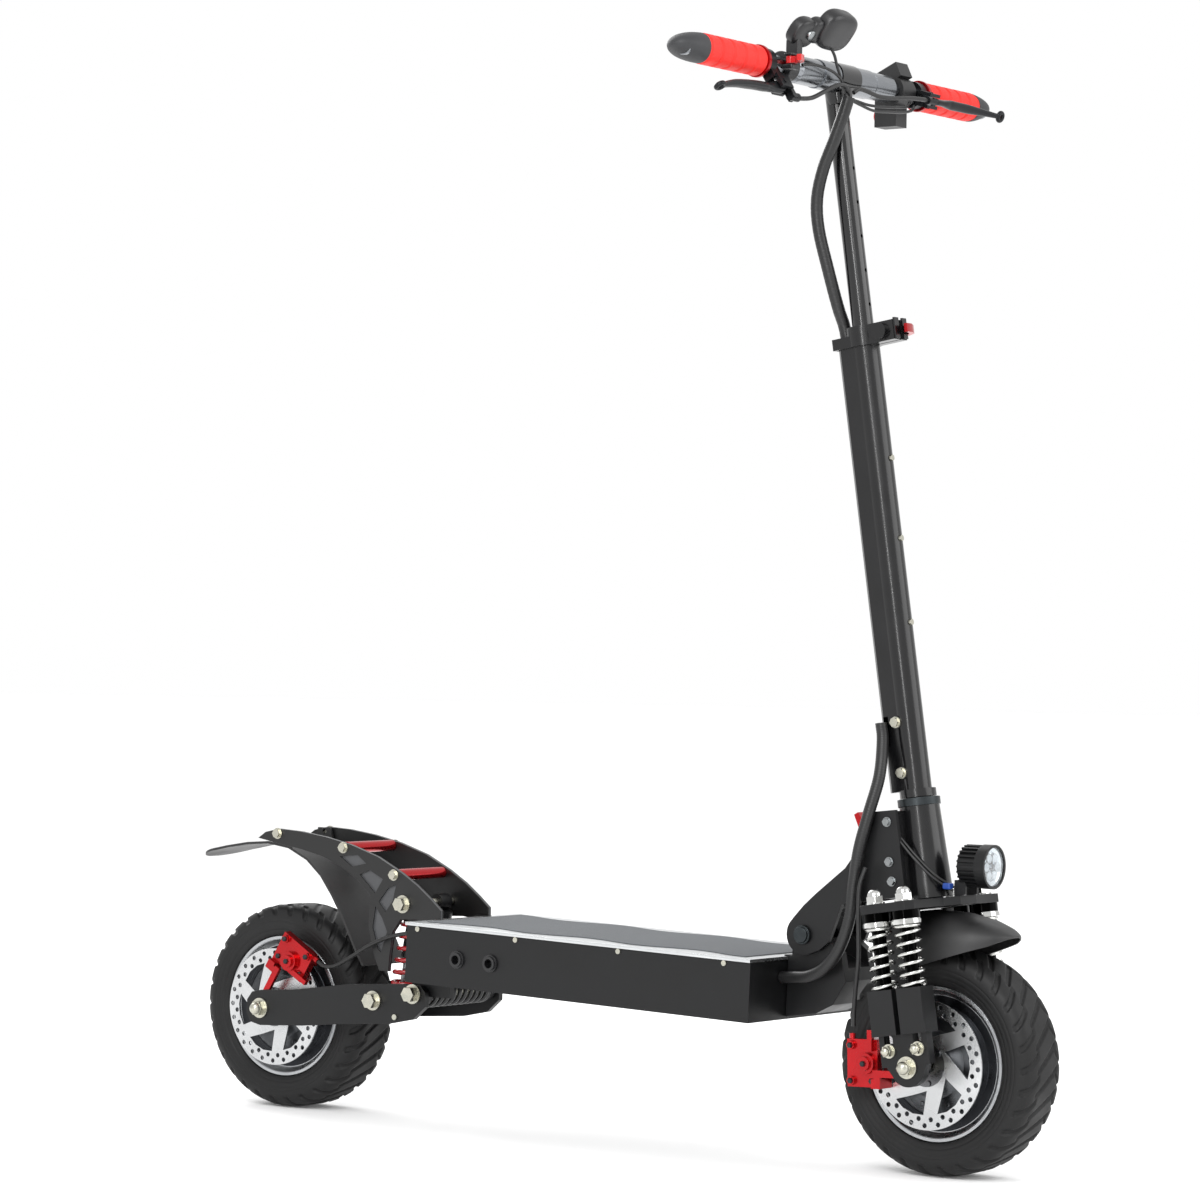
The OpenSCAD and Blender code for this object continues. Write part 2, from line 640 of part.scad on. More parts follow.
module leg_block(v) {
    difference() {
        box([v - 16, leg_y - 14, 37], [v + 16, leg_y + 14, leg_top]);
        translate([v, leg_y, 34]) cylinder(r = rod_r + run, h = 60);
    }
}
module fork_leg() {
    for (v = shock_v) leg_block(v);
    difference() {
        union() {
            box([-33, leg_y - 6, 2], [30, leg_y + 6, 37]);
            bar_y([0, 0], leg_y - 6, leg_y + 6, 22);
            plate_xz([[-20, -9], [-33, 12], [30, 12], [20, -9]], leg_y - 6, leg_y + 6);
        }
        bar_y([0, 0], leg_y - 20, leg_y + 20, axle_r + run);
        for (v = shock_v) translate([v, leg_y, 28]) cylinder(r = rod_r + run, h = 60);
        for (v = shock_v) bar_y([v, 20], leg_y - 20, leg_y + 20, 4 + run, 24);
    }
}
module fork_legs() {
    color([0.08, 0.08, 0.09]) fork_frame() both_sides() fork_leg();
}
module front_axle() {
    color([0.76, 0.68, 0.46]) fork_frame() {
        bar_y([0, 0], -leg_y - 7, leg_y + 7, axle_r);
        both_sides() {
            dome_nut([0, 0], leg_y + 6, 9.5, 12.5);
            for (v = shock_v) {
                bar_y([v, 20], -leg_y - 6, -leg_y + 4, 4, 24);
                dome_nut([v, 20], leg_y + 6, 6.6, 8);
            }
        }
        bar_y([0, 0], -leg_y + 6 + gap, -55, 9);
        bar_y([0, 0], 47, leg_y - 6 - gap, 9);
    }
}
// Cable disc caliper in the wheel's frame, with +X running out along the radius
module caliper(carrier_y) {
    difference() {
        union() {
            box([56, -64, -27], [96, -53, 27]);
            box([76, -54, -22], [83, -40, 22]);
            box([58, -48.5, -16], [83, -40, 16]);
            bar_y([70, 0], -70, -64, 12);
            bar_y([70, 0], -73, -70, 8);
            box([60, -70, 14], [66, -64, 38]);
            bar_y([90, -20], -68, -64, 5);
            bar_y([90, 20], -68, -64, 5);
            // Stop that takes the outer cable
            translate([92, -58.5, 27]) cylinder(r = 3.5, h = 6);
        }
        for (z = [-20, 20]) bar_y([64, z], -66, -50, 3, 24);
    }
    // Carrier that fixes it to the fork or the swingarm
    box([10, carrier_y, -14], [54, carrier_y + 5, -6]);
    box([44, carrier_y, -27], [56, -53, -16]);
    box([44, carrier_y, -27], [52, carrier_y + 5, -6]);
}
module front_caliper() {
    color([0.82, 0.06, 0.08]) at_front_axle() rotate([0, -182, 0])
        mirror([0, 0, 1]) caliper(-78.6);
}
tyre_half = [
    [bead_r + 0.2, 26.6], [84.2, 28.1], [88.8, 30.8], [89.2, 34], [97, 37.5], [106, 39.6],
    [113, 39.4], [119, 37], [123.5, 32.5], [126.2, 26.5], [127.5, 19]
];
module tyre() {
    w = tyre_w / 80;
    k = tyre_r / 127.5;
    half = [for (p = tyre_half) [p[0] > 100 ? p[0] * k : p[0], p[0] > 90 ? p[1] * w : p[1]]];
    rotate([90, 0, 0]) rotate_extrude($fn = 128) polygon(concat(half,
        [for (i = [len(half) - 1 : -1 : 0]) [half[i][0], -half[i][1]]]));
}
motor_half = [
    [axle_r + run, hub_y], [24, hub_y], [27, 41], [38, 35], [60, 31], [66, 27], [78, 25],
    [82, 30.5], [84, lip_y], [lip_r, lip_y], [88.4, 31], [84, 28.4], [bead_r, 27]
];
module motor() {
    rotate([90, 0, 0]) rotate_extrude($fn = 128) polygon(concat(motor_half,
        [for (i = [len(motor_half) - 1 : -1 : 0]) [motor_half[i][0], -motor_half[i][1]]]));
}
function polar(r, a) = [r * cos(a), r * sin(a)];
module rotor() {
    r_out = rotor_d / 2;
    difference() {
        union() {
            bar_y([0, 0], rotor_y - rotor_t / 2, rotor_y + rotor_t / 2, r_out, 96);
            bar_y([0, 0], rotor_y + rotor_t / 2, -hub_y, 24);
        }
        bar_y([0, 0], -60, -40, axle_r + 3.5);
        for (i = [0 : 5]) rotate([0, 60 * i, 0]) plate_xz([polar(29, 34), polar(38, 6),
            polar(56, -13), polar(57.5, 0), polar(57.5, 14), polar(56, 28)], -60, -49);
        for (i = [0 : 23]) rotate([0, 15 * i, 0]) bar_y([r_out - 5.2, 0], -60, -49, 2.8, 16);
        for (i = [0 : 23]) rotate([0, 15 * i + 7.5, 0]) bar_y([r_out - 12, 0], -60, -49, 2.8, 16);
    }
    for (i = [0 : 5]) rotate([0, 60 * i + 20, 0])
        bar_y([21, 0], rotor_y - rotor_t / 2 - 2, rotor_y - rotor_t / 2, 3.4, 24);
}
module front_tyre() {
    color([0.06, 0.06, 0.06]) at_front_axle() tyre();
}
module front_motor() {
    color([0.55, 0.55, 0.56]) at_front_axle() motor();
}
module front_rotor() {
    color([0.75, 0.75, 0.76]) at_front_axle() rotor();
}

// ---------------------------------------------------------------- telescopic stem and cockpit

module upper_stem() {
    color([0.06, 0.06, 0.06]) fork_frame() difference() {
        union() {
            translate([0, 0, 640]) cylinder(r = upper_r, h = bar_u - 640 - 10, $fn = 96);
            bar_y([bar_v, bar_u], -20, 20, 18);
            translate([4, 0, bar_u - 30]) cylinder(r1 = 14, r2 = 17, h = 20);
        }
        translate([0, 0, 639]) cylinder(r = upper_r - 2, h = bar_u - 665);
        bar_y([bar_v, bar_u], -21, 21, bar_d / 2 + run);
        for (u = [870 : 40 : 1030]) translate([0, 0, u]) rotate([0, 90, 0])
            translate([0, 0, -20]) cylinder(r = 2.2, h = 40, $fn = 16);
    }
}
module handlebar() {
    color([0.30, 0.31, 0.32]) bar_frame() difference() {
        bar_y([0, 0], -grip_end + 12, grip_end - 12, bar_d / 2, 64);
        bar_y([0, 0], -grip_end, grip_end, bar_d / 2 - 2, 48);
    }
}
module bar_collars() {
    color([0.45, 0.45, 0.46]) bar_frame() both_sides() difference() {
        union() {
            bar_y([0, 0], 21, 54, 17);
            bar_y([0, 0], 54, 57, 15.5);
            bar_y([0, 0], 57, 98, 16);
            translate([0, 98, 0]) rotate([-90, 0, 0]) cylinder(r1 = 16, r2 = 12.5, h = 7);
        }
        bar_y([0, 0], 20, 106, bar_d / 2 + run);
    }
}
// Grip with its ribs and a flattened palm rest at the outer end
module grip() {
    difference() {
        union() {
            bar_y([0, 0], grip_in, 288, 16);
            for (i = [0 : 6]) bar_y([0, 0], grip_in + 6 + 15 * i, grip_in + 16 + 15 * i, 17.4);
            bar_y([0, 0], grip_in - 5, grip_in + 1, 15);
            hull() {
                translate([0, 287, 0]) rotate([-90, 0, 0]) cylinder(r = 17.5, h = 2, $fn = 32);
                translate([-8, 300, 1]) sphere(r = 19, $fn = 24);
                translate([-3, grip_end - 13, 2]) sphere(r = 13, $fn = 24);
            }
        }
        bar_y([0, 0], 160, grip_end - 12 + gap, bar_d / 2 + run);
    }
}
module grips() {
    color([0.92, 0.20, 0.15]) bar_frame() both_sides() grip();
}
// Forward direction of the brake levers: the bar's frame pitched down
module lever_frame(drop = lever_drop) {
    bar_frame() rotate([0, drop, 0]) children();
}
module lever_perch() {
    difference() {
        union() {
            bar_y([0, 0], perch_y - 5, perch_y + 8, 16);
            box([8, perch_y - 14, -7], [24, perch_y + 4, 7]);
            box([20, lever_y - 12, -9], [38, lever_y + 10, -5]);
            box([20, lever_y - 12, 5], [38, lever_y + 10, 9]);
            // Barrel that adjusts the cable
            translate([44, lever_y - 26, 0]) rotate([-90, 0, 0]) cylinder(r = 5, h = 16);
            box([32, lever_y - 18, -5], [48, lever_y - 11, 5]);
        }
        bar_y([0, 0], perch_y - 20, perch_y + 20, bar_d / 2 + run);
        translate([lever_v, lever_y, -20]) cylinder(r = 3.05, h = 40);
        // Seat of the outer cable
        translate([44, lever_y - 30, 0]) rotate([-90, 0, 0]) cylinder(r = 2.7, h = 10);
        // Room for the lever's root
        translate([lever_v, lever_y, -4.7]) cylinder(r = 13, h = 9.4);
    }
    translate([lever_v, lever_y, -10]) cylinder(r = 3, h = 20);
}
module lever_perches() {
    color([0.12, 0.12, 0.13]) {
        lever_frame() lever_perch();
        lever_frame(right_drop) mirror([0, 1, 0]) lever_perch();
    }
}
blade = [
    [lever_v - 7, lever_y - 6], [lever_v + 8, lever_y - 8], [lever_v + 13, lever_y + 8],
    [lever_v + 14, lever_y + 30], [lever_v + 13, lever_y + 60], [lever_v + 16, lever_y + 100],
    [lever_v + 23, lever_y + 128], [lever_v + 17, lever_y + 130], [lever_v + 8, lever_y + 100],
    [lever_v + 4, lever_y + 60], [lever_v + 4, lever_y + 30], [lever_v, lever_y + 10],
    [lever_v - 7, lever_y + 7]
];
module brake_lever() {
    difference() {
        union() {
            translate([0, 0, -4]) linear_extrude(8) polygon(blade);
            // Broad face for the fingers
            hull() {
                translate([lever_v + 8, lever_y + 32, -4]) cube([6, 2, 8]);
                translate([lever_v + 9, lever_y + 55, -6]) cube([5, 20, 12]);
                translate([lever_v + 18, lever_y + 122, -3.5]) cube([5, 2, 7]);
            }
            translate([lever_v, lever_y, -4.4]) cylinder(r = 8, h = 8.8);
            translate([lever_v + 20, lever_y + 134, 0]) sphere(r = 8, $fn = 32);
        }
        translate([lever_v, lever_y, -10]) cylinder(r = 3 + run, h = 20);
        translate([lever_v + 10, lever_y + 134, 0]) rotate([0, 90, 0]) cylinder(r = 2.6, h = 20, $fn = 24);
    }
}
module brake_lever_right() {
    color([0.15, 0.15, 0.16]) lever_frame(right_drop) mirror([0, 1, 0]) brake_lever();
}
module brake_lever_left() {
    color([0.15, 0.15, 0.16]) lever_frame() brake_lever();
}
// Display head, tipped towards the rider, on a clamp with a finger throttle
display_c = [29, -64, 49];
display_pitch = -52;
module display_frame() {
    bar_frame() translate(display_c) rotate([0, display_pitch, 0]) children();
}
throttle_at = [18, -130, 5];
module display_unit() {
    color([0.07, 0.07, 0.08]) {
        display_frame() difference() {
            union() {
                hull() {
                    translate([0, 6, -9]) cylinder(r = 24, h = 17, $fn = 32);
                    translate([0, -6, -9]) cylinder(r = 24, h = 17, $fn = 32);
                    translate([0, 0, -16]) cylinder(r = 15, h = 6, $fn = 32);
                }
                hull() {
                    translate([-14, -40, -6]) cylinder(r = 18, h = 18, $fn = 32);
                    translate([-14, -50, -4]) cylinder(r = 15, h = 14, $fn = 32);
                }
            }
            translate([-14, -48, 5.5]) cylinder(r = 6.5 + gap, h = 10);
        }
        bar_frame() difference() {
            union() {
                bar_y([0, 0], -127, -109, 17);
                box([4, -122, 8], [22, -112, 33]);
                box([8, -138, -6], [24, -120, 0]);
            }
            bar_y([0, 0], -140, -100, bar_d / 2 + run);
            translate([throttle_at[0], throttle_at[1], throttle_at[2] - 4.3]) cylinder(r = 7.5, h = 8.6);
        }
        bar_frame() difference() {
            box([11, -138, 9.5], [24, -113, 12.5]);
            bar_y([0, 0], -141, -100, bar_d / 2 + run);
        }
        bar_frame() translate([throttle_at[0], throttle_at[1], -5]) cylinder(r = 2.5, h = 15);
    }
}
module display_button() {
    color([0.75, 0.75, 0.76]) display_frame() translate([-14, -48, 8]) cylinder(r = 6.5, h = 6);
}
module throttle_lever() {
    color([0.10, 0.10, 0.11]) bar_frame() difference() {
        union() {
            translate([throttle_at[0], throttle_at[1], throttle_at[2] - 4]) cylinder(r = 6, h = 8);
            translate([0, 0, throttle_at[2] - 3.5]) linear_extrude(7)
                polygon([[18, -135.5], [21, -125.5], [33, -127], [40, -137], [42, -146.5], [36.5, -147],
                    [32, -139], [26, -135]]);
        }
        translate([throttle_at[0], throttle_at[1], -10]) cylinder(r = 2.5 + run, h = 20);
    }
}
module switch_unit() {
    color([0.08, 0.08, 0.09]) bar_frame() difference() {
        union() {
            bar_y([0, 0], 112, 140, 17);
            // Key switch that leans forwards above the bar
            translate([-4, 126, 10]) rotate([0, -25, 0]) box([-16, -13, 0], [18, 13, 18]);
            // Lamp and horn housing under the bar
            box([-24, 114, -42], [6, 138, -8]);
        }
        bar_y([0, 0], 100, 150, bar_d / 2 + run);
        translate([-26, 126, -28]) rotate([0, 90, 0]) cylinder(r = 8.3, h = 9);
    }
}
module horn_button() {
    color([0.85, 0.08, 0.08]) bar_frame() translate([-28, 126, -28]) rotate([0, 90, 0])
        cylinder(r = 8, h = 7);
}
module bar_hose() {
    color([0.07, 0.07, 0.07]) sweep(smooth(bar_hose_route, 3), 7.2, 10, [0, 1, 0]);
}
module bar_cables() {
    color([0.07, 0.07, 0.07]) {
        sweep(smooth(right_cable_route, 2), 2.6, 8, [0, 0, 1]);
        sweep(smooth(left_cable_route, 2), 2.6, 8, [0, 0, 1]);
    }
}
module stem_hose() {
    color([0.07, 0.07, 0.07]) sweep(smooth(stem_hose_route, 2), 7, 10, [0, 1, 0]);
}
module front_cable() {
    color([0.07, 0.07, 0.07]) sweep(smooth(front_cable_route, 2), 2.6, 8, [0, 1, 0]);
}
module rear_cable() {
    color([0.07, 0.07, 0.07]) sweep(smooth(rear_cable_route, 2), 2.6, 8, [0, 0, 1]);
}

// ---------------------------------------------------------------- swingarm and rear wheel

arm_side = [
    [-206, 146], [-206, 164], [-214, 172], [-240, 172], [-330, 166], [-420, 153], [-468, 150],
    [-482, 147], [-490, 137], [-490, 120], [-482, 109], [-468, 106], [-400, 110], [-330, 117],
    [-262, 122], [-224, 130]
];
module swingarm() {
    color([0.10, 0.10, 0.11]) {
        both_sides() difference() {
            plate_xz(arm_side, arm_y[0], arm_y[1]);
            bar_y(pivot, arm_y[0] - 1, arm_y[1] + 1, axle_r + run);
            bar_y([rear_x, axle_z], arm_y[0] - 1, arm_y[1] + 1, axle_r + run);
        }
        bar_y([-312, 148], -arm_y[0], arm_y[0], 9);
        bar_y(shock_low, -arm_y[0], arm_y[0], 5);
    }
}
module rear_axle() {
    color([0.76, 0.68, 0.46]) {
        bar_y([rear_x, axle_z], -arm_y[1] - 1, arm_y[1] + 1, axle_r);
        both_sides() {
            dome_nut([rear_x, axle_z], arm_y[1], 9.5, 12.5);
            bar_y(shock_low, -arm_y[1] - 2.7, -arm_y[1], 12);
            bar_y(shock_low, -arm_y[1] - 12, -arm_y[1] - 2.7, 9.5, 6);
            bar_y([-252, 131], -arm_y[1] - 2, -arm_y[1], 3.5, 24);
        }
        bar_y([rear_x, axle_z], -arm_y[0], -55, 9);
        bar_y([rear_x, axle_z], 47, arm_y[0], 9);
    }
}
module rear_caliper() {
    color([0.82, 0.06, 0.08]) at_rear_axle() rotate([0, -59, 0])
        mirror([0, 0, 1]) caliper(-69.7);
}
module rear_tyre() {
    color([0.06, 0.06, 0.06]) at_rear_axle() tyre();
}
module rear_motor() {
    color([0.55, 0.55, 0.56]) at_rear_axle() motor();
}
module rear_rotor() {
    color([0.75, 0.75, 0.76]) at_rear_axle() rotor();
}
shock_l = norm(shock_top - shock_low);
shock_lean = atan2(shock_top[0] - shock_low[0], shock_top[1] - shock_low[1]);
// Frame of one shock: origin at its lower eye, +Z up along the shock
module shock_frame() {
    for (side = [-1, 1]) translate([shock_low[0], side * shock_y, shock_low[1]])
        rotate([0, shock_lean, 0]) children();
}
module shock_body() {
    color([0.12, 0.12, 0.13]) shock_frame() difference() {
        union() {
            translate([0, 0, shock_l]) bar_y([0, 0], -10, 10, 10);
            translate([0, 0, shock_l - 22]) cylinder(r = 16.5, h = 12);
            translate([0, 0, 52]) cylinder(r = 8.5, h = shock_l - 72);
        }
        translate([0, 0, shock_l]) bar_y([0, 0], -12, 12, 5 + run);
        translate([0, 0, 50]) cylinder(r = 4.5 + run, h = 40);
    }
}
module shock_rod() {
    color([0.70, 0.70, 0.70]) shock_frame() {
        difference() {
            union() {
                bar_y([0, 0], -10, 10, 10);
                translate([0, 0, 8]) cylinder(r = 16.5, h = 6);
                translate([0, 0, 13]) cylinder(r = 4.5, h = 60);
            }
            bar_y([0, 0], -12, 12, 5.7);
        }
    }
}
module rear_springs() {
    // Red coils of the two shocks
    color([0.75, 0.05, 0.06]) shock_frame() translate([0, 0, 14.5])
        coil(13.2, 3, shock_l - 37, 6);
    // Black coil around the swingarm's pivot
    color([0.08, 0.08, 0.08]) translate([pivot[0], 57, pivot[1]]) rotate([90, 0, 0])
        coil(15.5, 2.8, 114, 10);
}

deck_shell();
deck_plate();
grip_tape();
battery_pack();
controllers();
charge_ports();
deck_neck();
fold_pin();
tail_plates();
tail_spacers();
frame_bolts();
rear_fender();
kickstand();
head_tube();
fold_plates();
headset();
bracket_bolts();
fold_latch();
fork_crown();
lower_stem();
clamp_collar();
stem_bolts();
shock_rods();
fork_springs();
front_fender();
headlight();
headlight_lens();
qr_lever();
fork_legs();
front_axle();
front_caliper();
front_tyre();
front_motor();
front_rotor();
upper_stem();
handlebar();
bar_collars();
grips();
lever_perches();
display_unit();
switch_unit();
bar_hose();
bar_cables();
brake_lever_right();
brake_lever_left();
throttle_lever();
display_button();
horn_button();
swingarm();
rear_axle();
rear_caliper();
rear_tyre();
rear_motor();
rear_rotor();
shock_body();
shock_rod();
rear_springs();
stem_hose();
front_cable();
rear_cable();
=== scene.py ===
import math

import bpy
import numpy as np
from bpy.props import FloatProperty, FloatVectorProperty, IntProperty, PointerProperty
from mathutils import Matrix, Vector


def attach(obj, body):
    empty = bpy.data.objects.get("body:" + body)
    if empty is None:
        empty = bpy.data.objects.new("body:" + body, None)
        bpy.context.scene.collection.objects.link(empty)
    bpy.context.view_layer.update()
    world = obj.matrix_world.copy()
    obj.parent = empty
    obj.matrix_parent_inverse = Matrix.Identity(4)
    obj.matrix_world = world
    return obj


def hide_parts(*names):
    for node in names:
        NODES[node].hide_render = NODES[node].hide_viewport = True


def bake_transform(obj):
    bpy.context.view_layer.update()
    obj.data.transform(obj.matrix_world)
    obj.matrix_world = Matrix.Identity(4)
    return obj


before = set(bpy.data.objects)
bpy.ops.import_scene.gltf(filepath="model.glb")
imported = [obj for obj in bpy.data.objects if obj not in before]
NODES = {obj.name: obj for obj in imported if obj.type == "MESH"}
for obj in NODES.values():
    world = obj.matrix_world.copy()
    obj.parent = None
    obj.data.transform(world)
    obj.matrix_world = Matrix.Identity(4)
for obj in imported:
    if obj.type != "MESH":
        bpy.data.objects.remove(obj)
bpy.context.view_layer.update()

bl_info = {
    "name": "Electric Kick Scooter Finishes",
    "version": (1, 0, 0),
    "blender": (4, 5, 0),
    "location": "3D View > Sidebar > Scooter",
    "description": "Tyres, springs, grips, hoses and finishes for a folding electric kick scooter",
    "category": "Object",
}

# Frames of the scooter, each an origin in millimetres and a lean about the Y axis in degrees.
FORK = ((489.0, 0.0, 127.5), -9.1)
BAR = ((317.23, 0.0, 1250.47), 0.0)
LEVERS = {-1: ((317.23, 0.0, 1250.47), 58.0), 1: ((317.23, 0.0, 1250.47), 17.0)}
DISPLAY = ((346.23, -64.0, 1299.47), -52.0)
WORLD = ((0.0, 0.0, 0.0), 0.0)
SHOCK_LEAN = math.degrees(math.atan2(22.0, 118.0))
AXLES = {"front": (0.489, 0.0, 0.1275), "rear": (-0.468, 0.0, 0.1275)}

# Routes of the hoses and cables in millimetres.
BAR_HOSE = [(344, -22, 1226), (338, -24, 1205), (327, -26, 1175), (313, -26, 1143),
            (305, -25, 1109), (307, -23, 1074), (317, -17, 1028), (326, -9, 986),
            (331, -3, 965), (334, -1, 949.5)]
STEM_HOSE = [(404, -23, 508), (407, -24, 488), (411, -36, 448), (405, -48, 405),
             (396, -52.5, 365), (390, -53, 325), (385, -53, 285), (371, -52, 250),
             (352, -51, 228), (330, -49, 217), (308, -47, 214), (290, -46, 213)]
FRONT_CABLE = [(408, -57, 345), (404, -62, 325), (404, -64, 300), (406, -66, 268),
               (407, -67, 240), (402, -64, 205), (398, -60, 182), (397, -58.5, 165)]
REAR_CABLE = [(-391.5, -58.5, 188.8), (-380, -59, 184), (-362, -60, 186), (-338, -60, 198),
              (-310, -59, 214), (-280, -58, 226), (-245, -60, 233), (-213.5, -62, 235)]
RIGHT_CABLE = [(340.5, -128, 1213.2), (340.5, -116, 1213.2), (343, -98, 1216), (346, -80, 1224),
               (347, -62, 1232), (346, -44, 1237), (344, -31, 1237), (344, -24, 1232)]
LEFT_CABLE = [(359.3, 128, 1237.6), (359.3, 112, 1237.6), (357, 86, 1236), (354, 60, 1233),
              (351, 32, 1232), (350, 8, 1235), (349, -8, 1236), (347, -17, 1231)]
# Thin wires of the switches and the display, each to the hose.
WIRES = [[(345, 118, 1231), (351, 104, 1224), (354, 80, 1219), (354, 50, 1216), (352, 20, 1214),
          (349, -4, 1218), (346, -19, 1222)],
         [(338, 120, 1236), (346, 100, 1228), (350, 70, 1224), (350, 40, 1221), (349, 12, 1220),
          (347, -8, 1222), (344, -20, 1224)],
         [(338, -112, 1252), (342, -98, 1254), (345, -80, 1253), (346, -60, 1250),
          (345, -44, 1245), (342, -32, 1238), (341, -25, 1228)],
         [(341, -64, 1283), (346, -58, 1270), (345, -50, 1258), (343, -40, 1248),
          (340, -30, 1238), (340, -24, 1226)]]
FENDER_X = (424.0, 573.0)
LAMP_WIRE = [(500, -17, 322), (492, -21, 327), (478, -30, 338), (458, -36, 358), (438, -38, 378),
             (420, -38, 390), (412, -37, 392)]
TYRE_R = 127.45
# Outline of half a tyre, radius against half width, from the bead to the crown.
TYRE_HALF = [(80.2, 26.6), (84.2, 28.1), (88.8, 30.8), (89.2, 34), (97, 37.5), (106, 39.6),
             (113, 39.4), (119, 37), (123.5, 32.5), (126.2, 26.5), (TYRE_R, 19), (TYRE_R, 8)]


# ---------------------------------------------------------------- surfaces

def in_frame(points, where):
    """Points in millimetres, turned by the frame's lean about Y and moved to it, in metres."""
    origin, lean = where
    c, s = math.cos(math.radians(lean)), math.sin(math.radians(lean))
    x, y, z = np.moveaxis(np.asarray(points, float), -1, 0)
    return np.stack([x * c + z * s, y, z * c - x * s], -1) / 1000 + np.array(origin) / 1000


def angles(count):
    """Even angles round a full turn."""
    return np.linspace(0, 2 * math.pi, count, endpoint=False)


def route_point(route, k):
    """One point of a route in millimetres, in metres."""
    return np.array(route[k]) / 1000


def at_axle(end, lean=0.0):
    """The frame of the front or the rear axle."""
    return tuple(np.array(AXLES[end]) * 1000), lean


def grid_faces(n, m, wrap_n):
    """Corner numbers of the quads of an n by m grid: its rows are rings, its ends join if asked."""
    i, j = np.meshgrid(np.arange(n if wrap_n else n - 1), np.arange(m), indexing="ij")
    i2, j2 = (i + 1) % n, (j + 1) % m
    return np.stack([i * m + j, i2 * m + j, i2 * m + j2, i * m + j2], -1).reshape(-1, 4)


def surface(points, where=WORLD, wrap_n=False):
    """A grid of points as (vertices, quads, end polygons), facing outwards.

    The sign of the enclosed volume, the sum of the triangles' triple products, tells which way
    the grid runs; it is turned round where that sum is negative."""
    n, m = points.shape[:2]
    verts = in_frame(points, where).reshape(-1, 3)
    quads = grid_faces(n, m, wrap_n)
    caps = [] if wrap_n else [list(range(m))[::-1], list(range((n - 1) * m, n * m))]
    rel = verts - verts.mean(0)
    a, b, c, d = (rel[quads[:, k]] for k in range(4))
    total = np.einsum("ij,ij->", a, np.cross(b, c)) + np.einsum("ij,ij->", a, np.cross(c, d))
    for cap in caps:
        ring = rel[cap]
        total += np.einsum("ij,ij->", np.broadcast_to(ring[0], ring[1:-1].shape),
                           np.cross(ring[1:-1], ring[2:]))
    if total < 0:
        quads = quads[:, ::-1]
        caps = [cap[::-1] for cap in caps]
    return verts, quads, caps


def turned(profile, sides=96, axis="y", closed=False, where=WORLD, at=(0, 0, 0)):
    """A lathe surface: each (radius, height) of the profile is carried round the axis."""
    r, h = np.asarray(profile, float).T
    a = angles(sides)
    ring = r[:, None] * np.cos(a), r[:, None] * np.sin(a), np.repeat(h[:, None], sides, 1)
    order = {"y": (0, 2, 1), "z": (0, 1, 2), "x": (2, 0, 1)}[axis]
    points = np.stack([ring[k] for k in order], -1) + np.array(at, float)
    return surface(points, where, wrap_n=closed)


def curve_through(points, step=3.0):
    """A Catmull-Rom curve through the points, resampled at even arc length."""
    p = np.asarray(points, float)
    p = np.vstack([2 * p[0] - p[1], p, 2 * p[-1] - p[-2]])
    t = np.linspace(0, 1, 24, endpoint=False)[:, None]
    a, b, c, d = (p[k:len(p) - 3 + k, None] for k in range(4))
    fine = 0.5 * (2 * b + (c - a) * t + (2 * a - 5 * b + 4 * c - d) * t ** 2
                  + (3 * b - a - 3 * c + d) * t ** 3)
    fine = np.vstack([fine.reshape(-1, p.shape[1]), p[-2]])
    length = np.concatenate([[0], np.cumsum(np.linalg.norm(np.diff(fine, axis=0), axis=1))])
    s = np.linspace(0, length[-1], max(8, int(length[-1] / step)))
    return s, np.stack([np.interp(s, length, fine[:, k]) for k in range(p.shape[1])], -1)


def swept(route, radius, sides, step, beside=(0, 1, 0)):
    """A tube whose radius is a function of the length along the curve and the angle round it."""
    s, path = curve_through(route, step)
    t = np.gradient(path, axis=0)
    t /= np.linalg.norm(t, axis=1, keepdims=True)
    a = np.cross(t, beside)
    a /= np.linalg.norm(a, axis=1, keepdims=True)
    b = np.cross(t, a)
    w = angles(sides)
    r = radius(s[:, None], w[None, :]) * np.ones((len(s), sides))
    points = path[:, None] + r[..., None] * (np.cos(w)[None, :, None] * a[:, None]
                                             + np.sin(w)[None, :, None] * b[:, None])
    return surface(points)


def coil(radius, wire, height, turns, where, axis="z", at=(0, 0, 0)):
    """A helix of round wire whose first and last turn lie flat: the rise eases in and out."""
    t = np.linspace(0, turns, int(turns * 30))[:, None]
    climb = np.clip((t - 0.7) / (turns - 1.4), 0, 1)
    w = angles(12)[None, :]
    r = radius + wire * np.cos(w)
    z = wire + (height - 2 * wire) * climb + wire * np.sin(w)
    x, y = r * np.cos(2 * math.pi * t), r * np.sin(2 * math.pi * t)
    z = z * np.ones_like(x)
    points = np.stack([x, y, z] if axis == "z" else [x, z, y], -1) + np.array(at, float)
    return surface(points, where)


def cushion(half, power, where, at=(0, 0, 0), top=1.0, sides=48, rows=25):
    """A rounded block: a superellipsoid, whose powers set how square it is in plan and in height.

    x, y follow a signed power of cos and sin of the angle round, z a signed power of the sine of
    the latitude; the part above the middle is scaled by top."""
    a = angles(sides)[None, :]
    v = np.linspace(-math.pi / 2 + 0.02, math.pi / 2 - 0.02, rows)[:, None]
    plan = lambda q: np.sign(q) * np.abs(q) ** power[0]
    flat = np.cos(v) ** power[1]
    up = np.sign(np.sin(v)) * np.abs(np.sin(v)) ** power[1]
    up = np.where(up > 0, up * top, up) * np.ones_like(a)
    points = np.stack([half[0] * flat * plan(np.cos(a)), half[1] * flat * plan(np.sin(a)),
                       half[2] * up], -1) + np.array(at, float)
    return surface(points, where)


